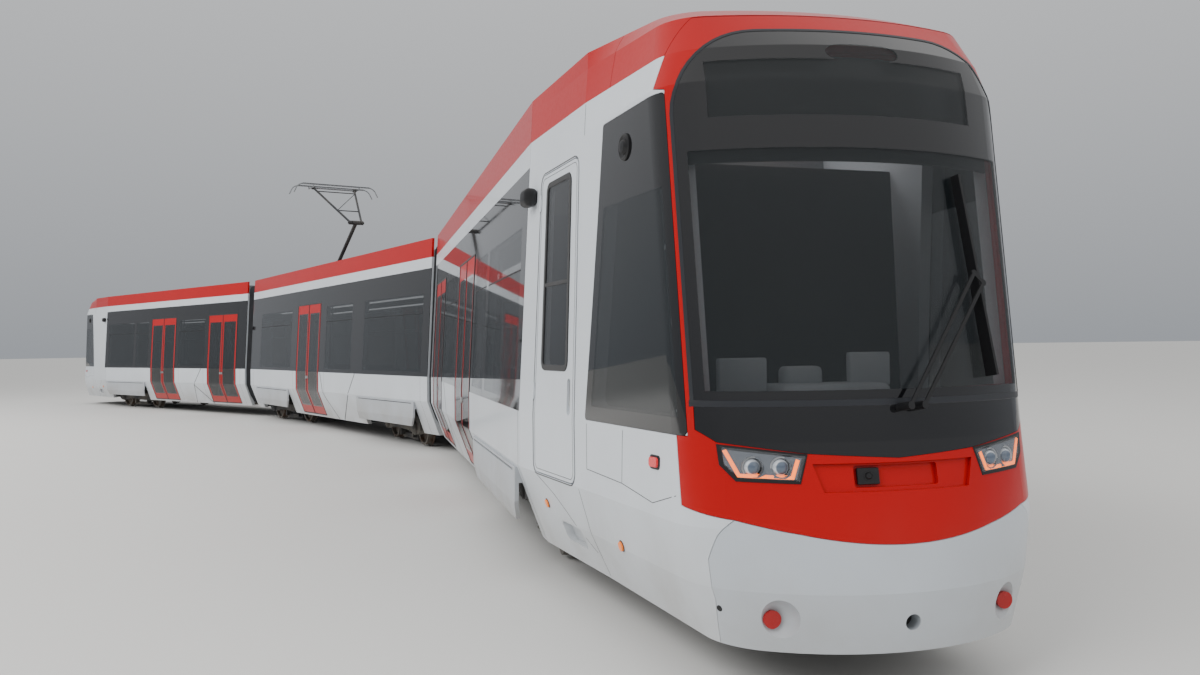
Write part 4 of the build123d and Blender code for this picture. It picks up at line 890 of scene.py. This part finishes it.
def buildBellows(car):
    look = bellowsLook
    bend = math.radians(bendOf(car.name))
    turnBack = 0 if car is front else math.pi
    pivot = pivotOf(car.name)
    stations = look["folds"] * look["steps"]

    def put(share, y, z):  # share: from the centre car to this one
        along = (share - 0.5) * look["length"]
        turn = turnBack + bend * share
        return Vector((pivot.x + math.cos(turn) * along - math.sin(turn) * y,
                       pivot.y + math.sin(turn) * along + math.cos(turn) * y, z))

    outer, inner = [], []
    tunnel = roundBox(*look["tunnel"], look["tunnelCorner"], look["tunnelSteps"])
    for k in range(stations + 1):
        share = k / stations
        wave = 0.5 - 0.5 * math.cos(math.tau * share * look["folds"])
        inset = look["valley"] + (look["peak"] - look["valley"]) * pow(wave, look["sharp"])
        swell, rise = 1 + look["tunnelSwell"] * wave, look["tunnelRise"] * wave
        outer += [put(share, y, z) for y, z in bellowsLine(inset)]
        inner += [put(share, y * swell, z + rise if z > look["tunnelMiddle"] else z) for y, z in tunnel]
    shapes = [(outer, rings(stations + 1, len(bellowsLine(0)))), (inner, rings(stations + 1, len(tunnel)))]
    made = piece(car.name + "Bellows", None, bellowsRubber, *shapes, smooth=60)
    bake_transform(made)
    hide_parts(car.name + "_bellows")


for car in ends:
    buildBellows(car)
print("bellows")


# Inside: grab poles, rails and ceiling lights, seen through the glass
insideLook = {
    "poles": {"end": ((1.0, 0.95), (2.28, 0.95), (4.54, 0.95), (5.82, 0.95), (1.64, 0.0), (5.18, 0.0)),
              "centre": ((-1.5, 0.95), (-0.2, 0.95), (-0.85, 0.0))},
    "floor": 0.362, "ceiling": 2.649, "radius": 0.017,
    "rails": {"end": (0.5, 9.2), "centre": (-5.3, 5.3)}, "railY": 0.52, "railZ": 2.05, "railCut": 0.08,
    "railR": 0.0153, "lightY": 0.62, "lightDown": 0.012, "lightShort": 0.4, "light": (0.11, 0.022),
    "lightEdge": 0.008}


def buildInside(car):
    look = insideLook
    floor, ceiling, railZ, cut = look["floor"], look["ceiling"], look["railZ"], look["railCut"]
    low, high = look["rails"][car.kind]
    rail = ((low, ceiling), (low, railZ + cut), (low + cut, railZ),
            (high - cut, railZ), (high, railZ + cut), (high, ceiling))
    size = (high - low - look["lightShort"], *look["light"])
    poles, lights = [], []
    for side in (-1, 1):
        for x, y in look["poles"][car.kind]:
            if y or side > 0:  # a pole on the middle line comes once
                poles.append(tube([car.at(x, side * y, z) for z in (floor, ceiling)], look["radius"], 12))
        poles.append(tube([car.at(x, side * look["railY"], z) for x, z in rail], look["railR"], 10))
        seat = car.seat((low + high) / 2, side * look["lightY"], ceiling - look["lightDown"])
        lights.append(slab(seat, size, look["lightEdge"]))
    carPieces(car, ("GrabPoles", railSteel, poles), ("CeilingLights", ceilingLight, lights))


for car in cars:
    buildInside(car)
print("inside")


# Roof: guards and blades of the fans in the equipment boxes
fanLook = {
    "end": ((1.1, 3.3), (4.3, 6.5), (7.3, 8.9)), "endTop": 3.455, "endR": 0.27,
    "centre": ((-5.2, -4.1), (-1.5, 0.9), (1.7, 4.6)), "centreTop": 3.43, "centreR": 0.24,
    "shares": (0.3, 0.7), "rings": (0.42, 0.58, 0.74), "ringUp": 0.008, "wire": 0.004,
    "spokes": 4, "spokeUp": 0.012, "spokeIn": 0.028, "blades": 7, "thick": 0.003,
    "blade": ((0.3, -0.018, -0.25), (0.3, -0.004, 0.25), (0.84, -0.010, 0.22), (0.84, -0.020, -0.12)),
    "bladeFaces": ((0, 2, 4, 6), (7, 5, 3, 1), (0, 1, 3, 2), (2, 3, 5, 4), (4, 5, 7, 6), (6, 7, 1, 0))}


def buildFans(car):
    look = fanLook
    top, radius = look[car.kind + "Top"], look[car.kind + "R"]
    guards, blades = [], []
    for x in (start + (stop - start) * share for start, stop in look[car.kind] for share in look["shares"]):
        def spot(reach, angle, up):
            return car.at(x + reach * math.cos(angle), reach * math.sin(angle), top + up)

        for scale in look["rings"]:
            ring = [car.at(x + u, v, top + look["ringUp"]) for u, v in disc(0, 0, radius * scale, 28)]
            guards.append(tube(ring, look["wire"], 6, True))
        for k in range(look["spokes"]):
            spoke = [spot((radius - look["spokeIn"]) * s, math.pi * k / look["spokes"], look["spokeUp"])
                     for s in (-1, 1)]
            guards.append(tube(spoke, look["wire"], 6))
        for k in range(look["blades"]):
            angle = math.tau * k / look["blades"]
            verts = [spot(radius * reach, angle + turn, rise + lift)
                     for reach, rise, turn in look["blade"] for lift in (0, look["thick"])]
            blades.append((verts, look["bladeFaces"]))
    carPieces(car, ("FanGuards", railSteel, guards), ("FanBlades", blackPlastic, blades))


for car in cars:
    buildFans(car)
print("roof")


# Bogies: axle-box covers with their bolts
bogieLook = {
    "side": 0.978, "bolts": 8, "boltR": 0.072, "boltUp": 0.015,
    "cover": ((0.094, -0.004), (0.094, 0.010), (0.086, 0.016), (0.047, 0.018), (0.0423, 0.026), (0, 0.028)),
    "bolt": ((0.009, 0), (0.009, 0.007), (0.006, 0.009), (0, 0.009))}


def buildBogie(body):
    look = bogieLook
    shapes = []
    for axle in frame["joints"]:
        if axle["parent"] != body:
            continue
        for side in (-1, 1):
            way = Vector(axle["axis"]).normalized() * side
            seat = facing(Vector(axle["pos_m"]) + way * look["side"], way)
            shapes.append(lathe(seat, look["cover"], 28))
            for x, y in disc(0, 0, look["boltR"], look["bolts"]):
                shapes.append(lathe(seat @ Matrix.Translation((x, y, look["boltUp"])), look["bolt"], 6))
    piece(body + "_axleCovers", body, bogieGrey, *shapes)


for joint in frame["joints"]:
    if joint["name"].endswith("_bogie_pivot"):
        buildBogie(joint["child"])
print("bogies")


# Studio: pale floor, soft light from above, and the photograph's camera
studio = {
    "floor": srgb(214, 213, 210), "half": 400, "sky": 1.0,
    "ramp": ((0.0, (0.36, 0.38, 0.41)), (0.75, (1, 1, 1)))}  # the sky's colour, by height


def buildStudio():
    mesh = bpy.data.meshes.new("studioFloor")
    half = studio["half"]
    corners = [(-half, -half, 0), (half, -half, 0), (half, half, 0), (-half, half, 0)]
    mesh.from_pydata(corners, [], [(0, 1, 2, 3)])
    ground = placed("studioFloor", mesh)
    finish = Finish("studioFloor", Roughness=0.85, Specular_IOR_Level=0.2)
    soft = finish.noise(0.35, 3)
    finish.set(Base_Color=finish.mix(soft * 0.3, studio["floor"], dim(studio["floor"], 0.93)))
    mesh.materials.append(finish.material)
    world = bpy.data.worlds.new("studio")
    bpy.context.scene.world = world
    world.use_nodes = True
    tree = world.node_tree
    tree.nodes.clear()
    way, split, ramp, light, out = [tree.nodes.new("ShaderNode" + kind) for kind in (
        "TexCoord", "SeparateXYZ", "ValToRGB", "Background", "OutputWorld")]
    for element, (place, colour) in zip(ramp.color_ramp.elements, studio["ramp"]):
        element.position, element.color = place, (*colour, 1)
    light.inputs["Strength"].default_value = studio["sky"]
    for a, b in ((way.outputs["Generated"], split.inputs[0]), (split.outputs[2], ramp.inputs[0]),
                 (ramp.outputs[0], light.inputs[0]), (light.outputs[0], out.inputs[0])):
        tree.links.new(a, b)


lights = (  # name, place in the front car's frame, size, watts, aim
    ("key", (20, -18, 17), 14, 3600, (9, -1, 1.5)),
    ("fill", (26, 12, 12), 14, 1300, (11, 0, 1.5)),
    ("side", (-6, -24, 16), 16, 4200, (-6, 0, 1.5)))


def buildLights():
    for name, place, size, watts, aim in lights:
        lamp = bpy.data.lights.new(name, "AREA")
        lamp.shape, lamp.size, lamp.energy = "SQUARE", size, watts
        thing = placed(name, lamp)
        thing.location = front.at(*place)
        thing.visible_glossy = False
        thing.rotation_euler = (front.at(*aim) - thing.location).to_track_quat("-Z", "Y").to_euler()


photoCamera = {  # in the front car's frame, metres and radians
    "place": (16.501, -2.454, 1.706), "yaw": 0.238, "pitch": 0.008, "roll": -0.015,
    "lens": 30, "sensor": 36, "far": 2000}


def buildCamera():
    look = photoCamera
    ahead = Vector((-math.cos(look["yaw"]) * math.cos(look["pitch"]),
                    math.sin(look["yaw"]) * math.cos(look["pitch"]), math.sin(look["pitch"])))
    right = Vector((math.sin(look["yaw"]), math.cos(look["yaw"]), 0))
    up = right.cross(ahead)
    rightRolled = right * math.cos(look["roll"]) + up * math.sin(look["roll"])
    upRolled = up * math.cos(look["roll"]) - right * math.sin(look["roll"])
    camera = placed("photoCamera", bpy.data.cameras.new("photoCamera"))
    camera.data.lens, camera.data.sensor_width = look["lens"], look["sensor"]
    camera.data.clip_end = look["far"]
    turn = front.matrix.to_3x3()
    axes = Matrix((turn @ rightRolled, turn @ upRolled, turn @ -ahead)).transposed()
    camera.matrix_world = Matrix.Translation(front.at(*look["place"])) @ axes.to_4x4()
    bpy.context.scene.camera = camera


buildStudio()
buildLights()
buildCamera()
print("studio and camera")
